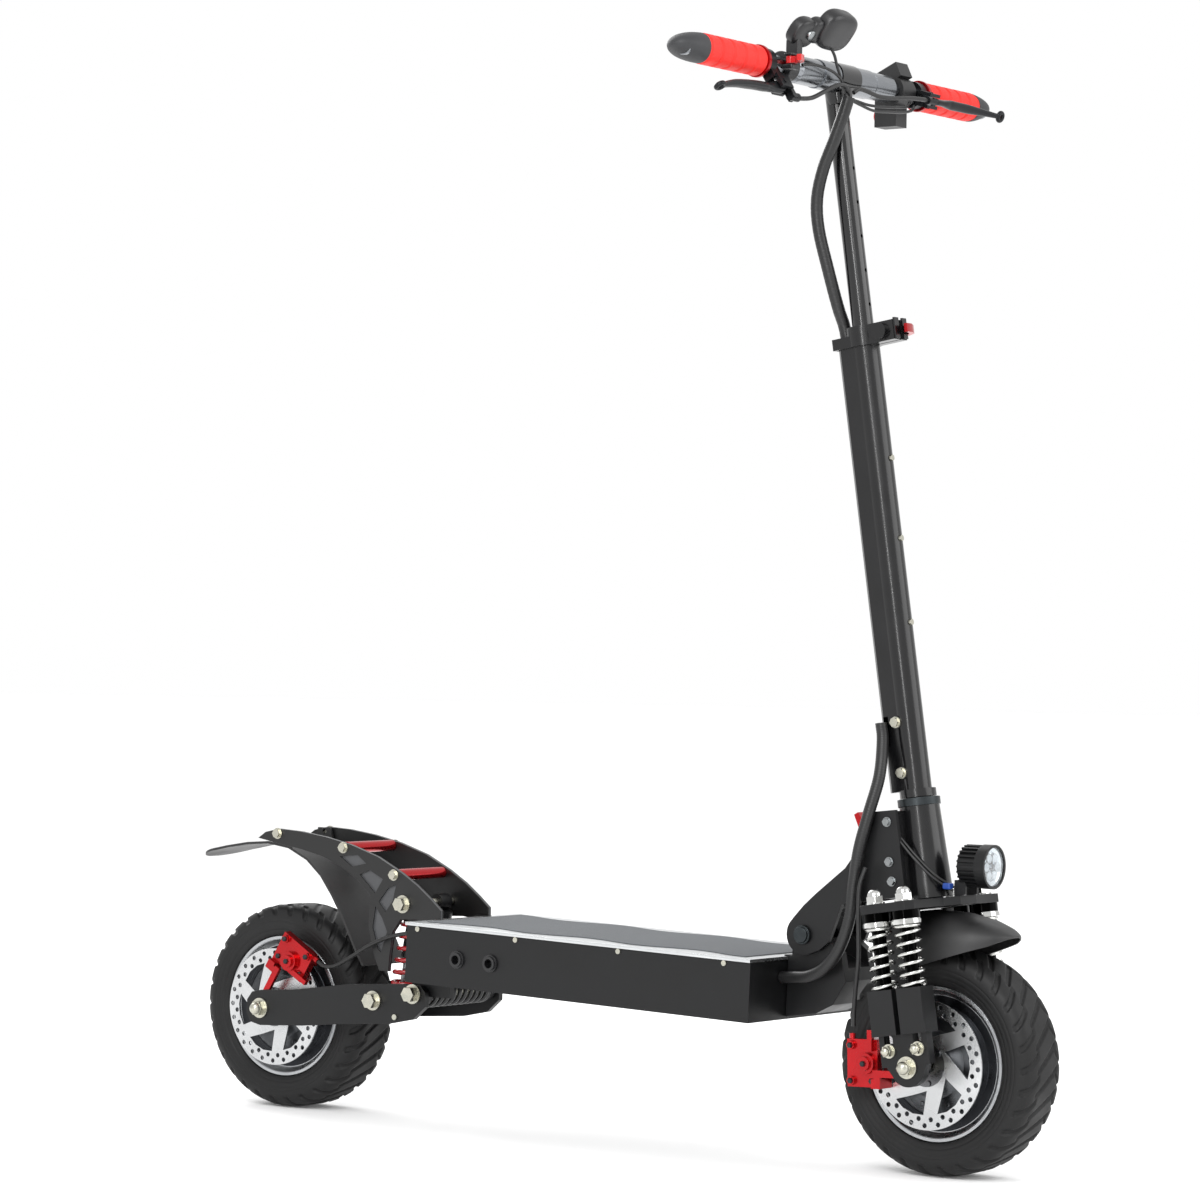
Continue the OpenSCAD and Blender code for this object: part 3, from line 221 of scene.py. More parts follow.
def piece(name, parts, body, material, crease=38, stands_for=(), between=None):
    """One object from several surfaces: their arrays are stacked and smoothed up to the crease.

    It rides on its body, or with between, (other body, start, end), it rides on no body and stays
    where it is made."""
    verts, faces, offset = [], [], 0
    for v, quads, caps in parts:
        verts.append(v)
        faces += (quads + offset).tolist() + [[k + offset for k in cap] for cap in caps]
        offset += len(v)
    mesh = bpy.data.meshes.new(name)
    mesh.from_pydata(np.vstack(verts), [], faces)
    mesh.shade_smooth()
    mesh.set_sharp_from_angle(angle=math.radians(crease))
    mesh.materials.append(material)
    mesh.validate()
    obj = bpy.data.objects.new(name, mesh)
    bpy.context.scene.collection.objects.link(obj)
    if between:
        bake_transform(obj)
    else:
        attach(obj, body)
    if stands_for:
        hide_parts(*stands_for)


# ---------------------------------------------------------------- materials

def linear(hex_value):
    """An sRGB hex colour as linear red, green and blue, and an alpha of one."""
    srgb = [int(hex_value[k:k + 2], 16) / 255 for k in (1, 3, 5)]
    return tuple(c / 12.92 if c <= 0.04045 else ((c + 0.055) / 1.055) ** 2.4
                 for c in srgb) + (1.0,)


def hex_of(colour):
    """The hex form of an sRGB colour."""
    return "#" + "".join(f"{round(c * 255):02x}" for c in colour)


def add_node(tree, kind, settings=None, **inputs):
    """A node with its settings; an input is a value, or a socket that is linked to it."""
    node = tree.nodes.new(kind)
    for key, value in (settings or {}).items():
        setattr(node, key, value)
    for key, value in inputs.items():
        socket = node.inputs[int(key[1:]) if key[1:].isdigit() else key.replace("_", " ")]
        if isinstance(value, bpy.types.NodeSocket):
            tree.links.new(value, socket)
        else:
            socket.default_value = value
    return node


def new_finish(name):
    """A material with an empty tree, its shader, its output and its Object coordinates."""
    old = bpy.data.materials.get(name)
    if old:
        bpy.data.materials.remove(old)
    material = bpy.data.materials.new(name)
    material.use_nodes = True
    tree = material.node_tree
    tree.nodes.clear()
    shader = add_node(tree, "ShaderNodeBsdfPrincipled")
    add_node(tree, "ShaderNodeOutputMaterial", Surface=shader.outputs["BSDF"])
    coords = add_node(tree, "ShaderNodeTexCoord").outputs["Object"]
    return material, tree, shader, coords


def grained(name, base, other, rough, metallic=0.0, grain=1.0, depth=0.02, stretch=(1, 1, 1),
            smudge=45.0, mix=0.6, shell=0.0, ior=None, height=None, shade=None):
    """A finish with a fine grain and broad smudges.

    grain and smudge are the sizes in millimetres of the fine and the broad variation, depth the
    height of the grain in millimetres, stretch pulls the grain out along an axis as brushing
    does, rough the lowest and highest roughness, and shell the clear coat. height and shade are
    functions that add a pattern of their own to the relief and to the colour."""
    material, tree, shader, coords = new_finish(name)
    pulled = add_node(tree, "ShaderNodeMapping", Vector=coords, Scale=stretch).outputs[0]
    fine = add_node(tree, "ShaderNodeTexNoise", Vector=pulled, Scale=1000 / grain, Detail=3.0)
    broad = add_node(tree, "ShaderNodeTexNoise", Vector=coords, Scale=1000 / smudge, Detail=4.0)
    blend = add_node(tree, "ShaderNodeMath", {"operation": "MULTIPLY"}, i0=fine.outputs[0],
                     i1=broad.outputs[0])
    spread = add_node(tree, "ShaderNodeMapRange", Value=blend.outputs[0], i1=0.12, i2=0.42,
                      i3=0.0, i4=mix)
    colour = add_node(tree, "ShaderNodeMix", {"data_type": "RGBA"}, Factor=spread.outputs[0])
    colour.inputs[6].default_value, colour.inputs[7].default_value = linear(base), linear(other)
    tint = colour.outputs[2]
    if shade:
        tint = shade(tree, coords, tint)
    tree.links.new(tint, shader.inputs["Base Color"])
    dull = add_node(tree, "ShaderNodeMapRange", Value=broad.outputs[0], i1=0.3, i2=0.7,
                    i3=rough[0], i4=rough[1])
    tree.links.new(dull.outputs[0], shader.inputs["Roughness"])
    bump = add_node(tree, "ShaderNodeBump", Height=fine.outputs[0], Distance=depth / 1000,
                    Strength=0.8)
    if height:
        relief, deep = height(tree, coords)
        bump = add_node(tree, "ShaderNodeBump", Height=relief, Distance=deep / 1000, Strength=1.0,
                        Normal=bump.outputs[0])
    tree.links.new(bump.outputs[0], shader.inputs["Normal"])
    shader.inputs["Metallic"].default_value = metallic
    shader.inputs["Coat Weight"].default_value = shell
    shader.inputs["Coat Roughness"].default_value = 0.08
    if ior:
        shader.inputs["IOR"].default_value = ior
    return material


def wheel_radius(tree, coords, centre):
    """The distance from a wheel's axle, from coordinates moved to it and flattened along Y."""
    flat = add_node(tree, "ShaderNodeMapping", Vector=coords, Scale=(1, 0, 1),
                    Location=(-centre[0], 0, -centre[2]))
    return add_node(tree, "ShaderNodeVectorMath", {"operation": "LENGTH"},
                    i0=flat.outputs[0]).outputs["Value"]


def bands(tree, value, stops):
    """Colours in steps along a value: each stop is where a colour starts and the colour."""
    low, high = stops[0][0], stops[-1][0]
    share = add_node(tree, "ShaderNodeMapRange", Value=value, i1=low, i2=high, i3=0.0, i4=1.0)
    ramp = add_node(tree, "ShaderNodeValToRGB", Fac=share.outputs[0])
    ramp.color_ramp.interpolation = "CONSTANT"
    while len(ramp.color_ramp.elements) < len(stops):
        ramp.color_ramp.elements.new(0.5)
    for element, (at, colour) in zip(ramp.color_ramp.elements, stops):
        element.position = (at - low) / (high - low)
        element.color = linear(colour)
    return ramp.outputs[0]


def tinted(pattern):
    """A shade function that multiplies the base colour by a pattern of colours."""
    def shade(tree, coords, tint):
        mix = add_node(tree, "ShaderNodeMix", {"data_type": "RGBA", "blend_type": "MULTIPLY"})
        mix.inputs[0].default_value = 1.0
        tree.links.new(tint, mix.inputs[6])
        tree.links.new(pattern(tree, coords), mix.inputs[7])
        return mix.outputs[2]
    return shade


def rings(centre, pitch, depth):
    """A height function: turning marks, a sine of the distance from the axle."""
    def height(tree, coords):
        radius = wheel_radius(tree, coords, centre)
        turns = add_node(tree, "ShaderNodeMath", {"operation": "MULTIPLY"}, i0=radius,
                         i1=2 * math.pi * 1000 / pitch)
        wave = add_node(tree, "ShaderNodeMath", {"operation": "SINE"}, i0=turns.outputs[0])
        return wave.outputs[0], depth
    return height


def along_fork(tree, coords):
    """The height along the steering axis, from coordinates turned upright with it."""
    upright = add_node(tree, "ShaderNodeMapping", {"vector_type": "TEXTURE"}, Vector=coords,
                       Location=AXLES["front"], Rotation=(0, math.radians(FORK[1]), 0))
    return add_node(tree, "ShaderNodeSeparateXYZ", Vector=upright.outputs[0]).outputs["Z"]


def rod_bands(tree, coords):
    """Black rod and sleeve; the spring seat and the nuts on the crown are bright."""
    return bands(tree, along_fork(tree, coords),
                 [(0.0, "#0c0c0c"), (0.1580, "#ffffff"), (0.1632, "#0c0c0c"), (0.184, "#ffffff"),
                  (0.25, "#ffffff")])


def pocket_grey(tree, coords):
    """Grey in the milled pockets, which lie deeper than the plates' outer faces."""
    side = add_node(tree, "ShaderNodeSeparateXYZ", Vector=coords).outputs["Y"]
    out = add_node(tree, "ShaderNodeMath", {"operation": "ABSOLUTE"}, i0=side)
    return bands(tree, out.outputs[0], [(0.0, "#303030"), (0.0470, "#ffffff"), (0.0500, "#303030"),
                                        (0.08, "#303030")])


def motor_bands(centre):
    """Bright rim lip, dark channel and satin cover, by distance from the axle."""
    return lambda tree, coords: bands(
        tree, wheel_radius(tree, coords, centre),
        [(0.0, "#77787a"), (0.028, "#8b8c8e"), (0.058, "#4a4b4e"), (0.0765, "#ffffff"),
         (0.1, "#ffffff")])


def rotor_bands(centre):
    """Dark carrier in the middle and a bright braking track."""
    return lambda tree, coords: bands(
        tree, wheel_radius(tree, coords, centre),
        [(0.0, "#8a8a8c"), (0.0245, "#ffffff"), (0.1, "#ffffff")])


def grit(tree, coords):
    """A height function: crushed abrasive, drawn 1.4 mm coarse so that it shows."""
    cells = add_node(tree, "ShaderNodeTexVoronoi", Vector=coords, Scale=1000 / 1.4)
    return cells.outputs["Distance"], 0.6


def finishes(colours):
    """Every material of the scooter, by its short name."""
    black, red = "#0b0b0c", "#b00f16"
    made = {}
    # Powder coat: satin, with the fine orange peel of baked powder, about 0.8 mm across.
    made["powder"] = grained("Powder coated aluminium, black", black, "#131416", (0.36, 0.5),
                             grain=0.8, depth=0.02, ior=1.38)
    # A smoother coat on the stem's tubes, which draw the lamps out into lines.
    made["satin"] = grained("Powder coated tube, smooth black", "#070708", "#0e0e10", (0.18, 0.26),
                            grain=1.6, depth=0.002, ior=1.5)
    # The same coat over milled pockets that were left in the grey of the first coat.
    made["tail"] = grained("Powder coated aluminium, milled pockets", "#3c3d3f", "#46474a",
                           (0.36, 0.5), grain=0.8, depth=0.02, shade=tinted(pocket_grey))
    # Hard anodising over polished tube: a deep, sharp gloss with faint draw lines along it.
    made["gloss"] = grained("Anodised aluminium tube, gloss black", "#060607", "#0c0c0e",
                            (0.14, 0.2), grain=2.0, depth=0.0004, stretch=(1, 1, 0.03), shell=0.3)
    # Mill finish extrusion: bright, with lines along the deck about 0.6 mm apart.
    made["plate"] = grained("Extruded aluminium plate, brushed", "#d2d4d5", "#bcbec0",
                            (0.24, 0.4), metallic=1.0, grain=0.6, depth=0.02,
                            stretch=(0.03, 1, 1))
    # Silicon carbide grit in resin: matt grey with single bright grains.
    made["tape"] = grained("Abrasive grip tape, grey", "#54575a", "#65686b", (0.8, 0.92),
                           grain=1.6, depth=0.25, smudge=120.0, mix=0.7, height=grit)
    made["wrap"] = grained("Shrink wrapped cells, blue", "#173a86", "#1c4597", (0.25, 0.4),
                           grain=6.0, depth=0.2)
    # Clear and yellow zinc over steel: pale straw with greenish smudges.
    made["zinc"] = grained("Zinc plated steel, yellow passivated", "#c2beb0", "#a4a69c",
                           (0.22, 0.38), metallic=1.0, grain=1.2, depth=0.01, smudge=9.0, mix=0.9)
    made["steel"] = grained("Bright steel screw", "#8f9293", "#7c7f81", (0.2, 0.36),
                            metallic=1.0, grain=0.8, depth=0.01, smudge=8.0)
    made["dark_steel"] = grained("Black oxide steel", "#3d4143", "#2b2e30", (0.3, 0.46),
                                 metallic=1.0, grain=0.8, depth=0.015, smudge=10.0)
    # Red anodising: metal seen through a dyed clear layer.
    made["red"] = grained("Anodised aluminium, red", red, "#8d0d15", (0.2, 0.34), metallic=0.85,
                          grain=0.7, depth=0.01, shell=0.25)
    # Injection moulded nylon: fine spark-eroded texture, half matt.
    made["nylon"] = grained("Moulded nylon, black", "#0c0c0d", "#141415", (0.42, 0.58),
                            grain=0.9, depth=0.04, ior=1.53)
    # Moulded ABS: smooth, with a soft gloss.
    made["abs"] = grained("Moulded ABS, black", "#111113", "#19191b", (0.3, 0.42),
                          grain=2.0, depth=0.01, ior=1.5)
    made["screen"] = grained("Acrylic display window, black", "#020203", "#050506", (0.04, 0.08),
                             grain=4.0, depth=0.001, shell=1.0, ior=1.49)
    # Hard chrome on ground rod, and the black sleeve above it.
    made["chrome"] = grained("Hard chromed rod and black sleeve", "#cbcbc9", "#b2b2b0",
                             (0.06, 0.16), metallic=1.0, grain=0.6, depth=0.002,
                             shade=tinted(rod_bands))
    made["spring"] = grained("Nickel plated spring wire", "#cfcfcc", "#adadab", (0.12, 0.24),
                             metallic=1.0, grain=0.8, depth=0.01, smudge=7.0)
    made["red_spring"] = grained("Enamelled spring wire, red", "#a1121a", "#7d0b12", (0.2, 0.32),
                                 grain=1.0, depth=0.02, shell=0.5)
    made["black_spring"] = grained("Enamelled spring wire, black", "#101112", "#1a1b1c",
                                   (0.28, 0.42), grain=1.0, depth=0.02, shell=0.2)
    # Vulcanised tread rubber: dull charcoal with a mould's faint graining.
    made["tyre"] = grained("Vulcanised tyre rubber", "#0d0d0e", "#181818", (0.5, 0.7),
                           grain=1.1, depth=0.06, mix=0.9, ior=1.38)
    for end, centre in AXLES.items():
        # Cast and turned alloy: turning marks 0.9 mm apart on the lip and the covers.
        made["motor_" + end] = grained(
            f"Turned aluminium hub, {end}", "#b4b6b8", "#999b9e", (0.2, 0.36), metallic=1.0,
            grain=0.7, depth=0.01, shade=tinted(motor_bands(centre)),
            height=rings(centre, 0.9, 0.03))
        # Ground stainless: fine arcs left by the grinding wheel, drawn 0.6 mm apart.
        made["rotor_" + end] = grained(
            f"Ground stainless rotor, {end}", "#c9cacb", "#aeb0b1", (0.18, 0.32), metallic=1.0,
            grain=0.6, depth=0.008, shade=tinted(rotor_bands(centre)),
            height=rings(centre, 0.6, 0.02))
    made["gunmetal"] = grained("Anodised aluminium, gunmetal", "#8d9094", "#74777b",
                               (0.2, 0.3), metallic=1.0, grain=1.0, depth=0.001,
                               stretch=(1, 0.05, 1))
    # Grip rubber: silky, slightly translucent orange red.
    made["grip"] = grained("Silicone rubber, orange red", hex_of(colours.grip), "#c01a12",
                           (0.46, 0.6), grain=1.0, depth=0.03, mix=0.5, ior=1.43)
    made["cap"] = grained("Moulded rubber, dark grey", "#232426", "#2f3033", (0.5, 0.66),
                          grain=1.0, depth=0.04)
    made["lever"] = grained("Anodised aluminium, dark grey", "#1a1b1d", "#26282b", (0.26, 0.4),
                            metallic=0.7, grain=0.7, depth=0.01)
    made["sleeve"] = grained("PVC spiral wrap, black", "#0b0b0c", "#141415", (0.34, 0.5),
                             grain=1.2, depth=0.03)
    made["button"] = grained("Moulded button, red", "#c01a1c", "#a11416", (0.2, 0.34),
                             grain=2.0, depth=0.01, shell=0.3)
    # Polycarbonate lens: clear, water white, almost no tint.
    made["lens"] = grained("Polycarbonate lens, clear", "#f4f8fa", "#e8eef2", (0.03, 0.06),
                           grain=3.0, depth=0.002, ior=1.58)
    lens = made["lens"].node_tree.nodes["Principled BSDF"]
    lens.inputs["Transmission Weight"].default_value = 0.9
    made["mirror"] = grained("Vacuum metallised reflector", "#eef0f2", "#dfe2e5", (0.04, 0.1),
                             metallic=1.0, grain=2.0, depth=0.01)
    return made


# ---------------------------------------------------------------- properties

class ScooterSizes(bpy.types.PropertyGroup):
    """Sizes of the pieces that stand for plain CAD solids."""
    tread_depth: FloatProperty(name="Tread depth", description="Depth of the tyre's grooves",
                               default=0.0026, min=0.001, max=0.006, unit="LENGTH")
    tread_blocks: IntProperty(name="Tread blocks", description="Chevron blocks round a tyre",
                              default=30, min=24, max=72)
    hose_d: FloatProperty(name="Hose diameter", description="Outside diameter of the wrapped hoses",
                          default=0.0144, min=0.01, max=0.016, unit="LENGTH")
    cable_d: FloatProperty(name="Cable diameter", description="Outside diameter of a brake cable",
                           default=0.0052, min=0.004, max=0.006, unit="LENGTH")
    edge: FloatProperty(name="Edge softening", description="Width of the bevel on machined edges",
                        default=0.0006, min=0.0, max=0.002, unit="LENGTH")


class ScooterColours(bpy.types.PropertyGroup):
    """Colours that a user would change."""
    grip: FloatVectorProperty(name="Grips", description="Colour of the grips, in sRGB",
                              default=(0.88, 0.13, 0.09), min=0, max=1, subtype="COLOR_GAMMA")
    floor: FloatVectorProperty(name="Floor", description="Colour of the studio floor, in sRGB",
                               default=(0.98, 0.98, 0.98), min=0, max=1, subtype="COLOR_GAMMA")


MADE = {}


def made_finish(key):
    """A finish by its short name; all of them are made the first time one is asked for."""
    if not MADE:
        MADE.update(finishes(bpy.context.scene.scooter_colours))
    return MADE[key]


# ---------------------------------------------------------------- pieces

def tyre_surface(end, depth, blocks):
    """A tyre: its outline carried round the axle, with grooves sunk into the tread.

    Two sets of slanting grooves make the tread: one leans across the middle, one runs out over
    each shoulder. The phase of a set is the angle round plus a slant along the axle, a groove is
    where the phase is near its middle, and its depth fades out down the sidewall."""
    _, half = curve_through(TYRE_HALF, 1.3)
    # The curve overshoots at the crown, which would sink the tyre into the ground.
    half[:, 0] = np.minimum(half[:, 0], TYRE_R)
    profile = np.vstack([half, [(TYRE_R, y) for y in np.arange(6.5, -6.6, -1.3)],
                         half[::-1] * (1, -1)])
    r, y = profile[:, 0][:, None], profile[:, 1][:, None]
    a = angles(704)[None, :]
    step = lambda q, w: 1 / (1 + np.exp(-q / w))
    ay = np.abs(y)
    # Slants in blocks per millimetre, half widths and edges in blocks, reaches in millimetres
    outer_slant, inner_slant = 0.034, 0.026
    outer_half, inner_half, edge = 0.15, 0.13, 0.012
    outer_from, inner_to = 17.5, 21.0
    slant = a * blocks / (2 * math.pi)
    outer = np.abs((slant + ay * outer_slant + 0.2) % 1.0 - 0.5)
    inner = np.abs((slant - y * inner_slant) % 1.0 - 0.5)
    land = 1 - step(inner_half - inner, edge) * step(inner_to - ay, 0.5)
    land *= 1 - step(outer_half - outer, edge) * step(ay - outer_from, 0.5)
    tread = np.clip((r - 113.5) / 4.0, 0, 1)
    sunk = depth * 1000 * tread * (1 - land)
    rib_depth, rib_from, rib_to = 0.5, 93, 108
    ribs = rib_depth * np.clip(np.sin((r - 94) * 1.05), 0, 1) * ((r > rib_from) & (r < rib_to))
    n = np.gradient(profile, axis=0)
    n = np.stack([-n[:, 1], n[:, 0]], -1) / np.linalg.norm(n, axis=1, keepdims=True)
    n *= np.sign(n @ np.array([0.2, 0.0]) + (n[:, 1] * np.sign(profile[:, 1])))[:, None]
    cut = sunk + ribs
    rr, yy = r - cut * n[:, :1], y - cut * n[:, 1:]
    points = np.stack([rr * np.cos(a), yy, rr * np.sin(a)], -1)
    return surface(points, at_axle(end), wrap_n=True)


class SCOOTER_OT_tyres(bpy.types.Operator):
    """Both tyres, with their tread"""
    bl_idname = "scooter.tyres"
    bl_label = "Tyres"

    def execute(self, context):
        sizes = context.scene.scooter_sizes
        for end in AXLES:
            part = tyre_surface(end, sizes.tread_depth, sizes.tread_blocks)
            piece(f"{end}_tyre_tread", [part], f"{end}_wheel", made_finish("tyre"),
                  30, [f"{end}_tyre"])
        return {"FINISHED"}


class SCOOTER_OT_hubs(bpy.types.Operator):
    """Hub motors with their turned covers, rim lips and cover screws"""
    bl_idname = "scooter.hubs"
    bl_label = "Hub motors"

    def execute(self, context):
        # Radius against half width of the cover and the rim, from the axle outwards.
        half = [(6.1, 46), (22.8, 46), (24, 44.8), (24.4, 42.4), (27, 41), (36.5, 36.2), (38, 35),
                (39, 34.2), (57, 31.8), (58.5, 30.2), (60, 30.2), (61, 28.4), (66, 27), (67, 25.8),
                (77.4, 25.0), (78.6, 26), (81.6, 30.4), (83.2, 33), (84.2, 33.5), (87.4, 33.5),
                (88, 32.9), (88.4, 31), (84.2, 28.4), (80, 26.8)]
        profile = half + [(r, -y) for r, y in half[::-1]]
        for end in AXLES:
            where = at_axle(end)
            parts = [turned(profile, 160, closed=True, where=where)]
            for side in (-1, 1):
                for k in range(9):
                    a = math.radians(40 * k + 12)
                    at = (48 * math.cos(a), side * 32.6, 48 * math.sin(a))
                    head = [(0.2, side * 2.0), (2.2, side * 1.8), (3.0, side * 0.9), (3.1, 0),
                            (0.2, -side * 0.5)]
                    parts.append(turned(head, 20, where=where, at=at))
            piece(f"{end}_hub_motor", parts, f"{end}_wheel", made_finish("motor_" + end),
                  24, [f"{end}_motor"])
        return {"FINISHED"}


def fender_surface():
    """The front mudguard: an arched sheet, lofted along X from the crown to a round beak.

    A section is half a superellipse from one lower edge over the top to the other. Its half
    width, 54 mm, starts to close at x 488 and closes in an arc, and the sheet is 3 mm thick."""
    back, tip = FENDER_X
    closing, full, thick = 488, 54, 3.0
    x = back + (tip - back) * np.sin(np.linspace(0, math.pi / 2, 60))[:, None]
    ahead = np.clip((x - closing) / (tip + 0.4 - closing), 0, 1)
    wide = full * np.sqrt(1 - ahead ** 2.2)
    top = np.interp(x, [424, 470, 503, 537, 558, 573], [293, 299, 297.3, 290.6, 283, 274.5])
    low = np.interp(x, [424, 489, 522, 555, 573], [221, 241.5, 252.2, 263, 272.5])
    a = np.linspace(0, math.pi, 49)
    sheets = []
    for inset in (0.0, thick):
        c, s = np.cos(a), np.sin(a)
        w = np.maximum(wide - inset, 0.05)
        h = np.maximum(top - low - inset, 0.05)
        y = w * np.sign(c) * np.abs(c) ** 0.8
        sheets.append(np.stack([x + 0 * y, y, low + h * s ** 0.75], -1))
    # Out over the outer face and back along the inner one, as one closed ring per section
    return surface(np.concatenate([sheets[0], sheets[1][:, ::-1]], 1))


class SCOOTER_OT_fenders(bpy.types.Operator):
    """Moulded front mudguard"""
    bl_idname = "scooter.fenders"
    bl_label = "Front mudguard"

    def execute(self, context):
        posts = [turned([(0.3, 161), (6, 161), (6, 172), (0.3, 172)], 32, "z", where=FORK,
                        at=(v, 0, 0)) for v in (-22, 22)]
        piece("front_mudguard", [fender_surface()] + posts, "steering", made_finish("nylon"),
              40, ["front_fender"])
        return {"FINISHED"}


class SCOOTER_OT_springs(bpy.types.Operator):
    """Coil springs of the fork, of the rear shocks and round the swingarm's pivot"""
    bl_idname = "scooter.springs"
    bl_label = "Springs"

    def execute(self, context):
        top, low = in_frame((0, 0, 157), FORK), in_frame((0, 0, 90), FORK)
        parts = [coil(13.6, 2.05, 69.6, 7.2, FORK, at=(v, side * 85, 88.6))
                 for v in (-20.5, 17.5) for side in (-1, 1)]
        piece("fork_coils", parts, "steering", made_finish("spring"), 60,
              ["fork_springs"], ("front_legs", top, low))
        parts = [coil(13.2, 3.0, 83.0, 6.5, ((-286, side * 24, 149), SHOCK_LEAN), at=(0, 0, 14.5))
                 for side in (-1, 1)]
        shock = ((-286, 0, 149), SHOCK_LEAN)
        piece("shock_coils", parts, "shock_outer", made_finish("red_spring"), 60,
              ["rear_springs"],
              ("shock_inner", in_frame((0, 0, 96), shock), in_frame((0, 0, 15), shock)))
        piece("pivot_coil", [coil(15.5, 2.75, 113, 11, ((-224, -56.5, 161), 0), axis="y")], "deck",
              made_finish("black_spring"), 60)
        return {"FINISHED"}


class SCOOTER_OT_hoses(bpy.types.Operator):
    """Spiral-wrapped hoses and the brake cables"""
    bl_idname = "scooter.hoses"
    bl_label = "Hoses and cables"

    def execute(self, context):
        sizes = context.scene.scooter_sizes
        big, thin = sizes.hose_d * 500, sizes.cable_d * 500
        # Spiral wrap: the radius dips in a narrow groove whose phase runs along and round.
        wrap = lambda s, a: big - 0.22 * np.exp(
            -((((s / 9.0 + a / (2 * math.pi)) % 1.0) - 0.5) / 0.07) ** 2)
        # Corrugated conduit: rounded rings 3 mm apart.
        ringed = lambda s, a: big * 0.97 - 0.12 + 0.12 * np.sin(2 * math.pi * s / 3.0)
        plain = lambda s, a: thin
        wire = lambda s, a: 1.7
        bar_ends, fork_ends, arm_ends = ([route_point(route, k), route_point(route, -1)]
                                         for route, k in ((BAR_HOSE, 0), (FRONT_CABLE, 1),
                                                          (REAR_CABLE, 1)))
        levers = [swept(route, plain, 14, 3.0, (0, 0, 1)) for route in (RIGHT_CABLE, LEFT_CABLE)]
        levers += [swept(route, wire, 12, 3.0, (1, 0, 0)) for route in WIRES]
        for name, parts, body, node, between in (
                ("bar_hose_wrap", [swept(BAR_HOSE, wrap, 28, 0.9)], "cockpit", "bar_hose",
                 ("steering", *bar_ends)),
                ("stem_hose_wrap", [swept(STEM_HOSE, ringed, 24, 0.75)], "front_end", "stem_hose",
                 ("steering", route_point(STEM_HOSE, 6), route_point(STEM_HOSE, 1))),
                ("front_brake_cable", [swept(FRONT_CABLE, plain, 14, 3.0)], "steering",
                 "front_cable", ("front_legs", *fork_ends)),
                ("rear_brake_cable", [swept(REAR_CABLE, plain, 14, 3.0, (0, 0, 1))], "swingarm",
                 "rear_cable", ("deck", *arm_ends)),
                ("lever_cables", levers, "cockpit", "bar_cables", None)):
            piece(name, parts, body, made_finish("sleeve"), 50, [node], between)
        return {"FINISHED"}


def grip_surface(side):
    """A ribbed grip: the radius is a rounded square wave of the length along the bar."""
    y = np.concatenate([[169.2, 169.6, 170.2], np.arange(170.8, 287.6, 0.5), [288, 288.4, 288.4]])
    first, pitch, low, rise = 185, 22.5, 15.9, 1.5
    rib = 1 / (1 + np.exp(-(np.cos(2 * math.pi * (y - first) / pitch) + 0.78) / 0.07))
    body = low + rise * rib
    # Plain collars at both ends
    body = np.where(y < 174, 14.9, np.where(y > 285, 16.6, body))
    ends = np.clip(np.minimum(y - 169.0, 288.5 - y) / 1.0, 0, 1)
    r = body - 1.0 * (1 - np.sqrt(1 - (1 - ends) ** 2))
    r[0], r[-1] = 11.4, 11.4
    a = angles(72)
    points = np.stack([r[:, None] * np.cos(a), np.repeat(side * y[:, None], 72, 1),
                       r[:, None] * np.sin(a)], -1)
    return surface(points, BAR)


def palm_surface(side):
    """The palm rest: rings along the bar whose width, height and middle swell and then close."""
    inner, length = 287.8, 41.6
    t = np.linspace(0, 1, 44)[:, None]
    y = inner + length * t
    swell = np.clip(1 - t ** 3.2, 0, 1) ** 0.5
    wide = (17.0 + 5.0 * np.sin(math.pi * t * 0.9)) * swell
    high = (17.0 - 5.5 * t ** 1.5) * swell
    mid = -5.0 * np.sin(math.pi * t * 0.8)
    a = angles(72)[None, :]
    points = np.stack([mid + wide * np.cos(a), side * y + 0 * a, 1.2 * t + high * np.sin(a)], -1)
    return surface(points, BAR)


class SCOOTER_OT_grips(bpy.types.Operator):
    """Ribbed grips with their dark palm rests"""
    bl_idname = "scooter.grips"
    bl_label = "Grips"

    def execute(self, context):
        piece("ribbed_grips", [grip_surface(-1), grip_surface(1)], "cockpit", made_finish("grip"),
              50, ["grips"])
        piece("palm_rests", [palm_surface(-1), palm_surface(1)], "cockpit", made_finish("cap"),
              50)
        # Lock ring at the inner end of each grip
        ring = [(16.5, 169.4), (18.2, 169.4), (18.6, 169.9), (18.6, 173.6), (18.2, 174.1),
                (14.6, 174.1), (14.6, 169.4)]
        piece("grip_lock_rings", [turned([(r, side * y) for r, y in ring], 72, closed=True,
                                         where=BAR) for side in (-1, 1)], "cockpit",
              made_finish("red"), 30)
        return {"FINISHED"}


def blade_surface(side):
    """A lever blade: rounded sections along a curve, narrowing towards the tip."""
    _, line = curve_through([(29, 141), (33, 152), (35.5, 166), (37.5, 182), (38.5, 210),
                             (41.5, 245), (46, 268), (49.5, 279)], 1.5)
    t = np.linspace(0, 1, len(line))[:, None]
    wide = np.interp(t, [0, 0.06, 0.12, 0.3, 0.8, 0.97, 1], [4.5, 7.5, 8.0, 4.6, 4.0, 3.0, 2.2])
    thick = np.interp(t, [0, 0.06, 0.22, 0.34, 0.6, 0.95, 1], [2.5, 4.0, 4.0, 5.8, 5.6, 3.3, 3.0])
    head = np.gradient(line, axis=0)
    head /= np.linalg.norm(head, axis=1, keepdims=True)
    a = angles(28)[None, :]
    round_off = lambda q: np.sign(q) * np.abs(q) ** 0.7
    off = wide * round_off(np.cos(a))
    x = line[:, :1] + off * head[:, 1:]
    y = line[:, 1:] - off * head[:, :1]
    return surface(np.stack([x, side * y, thick * round_off(np.sin(a))], -1), LEVERS[side])


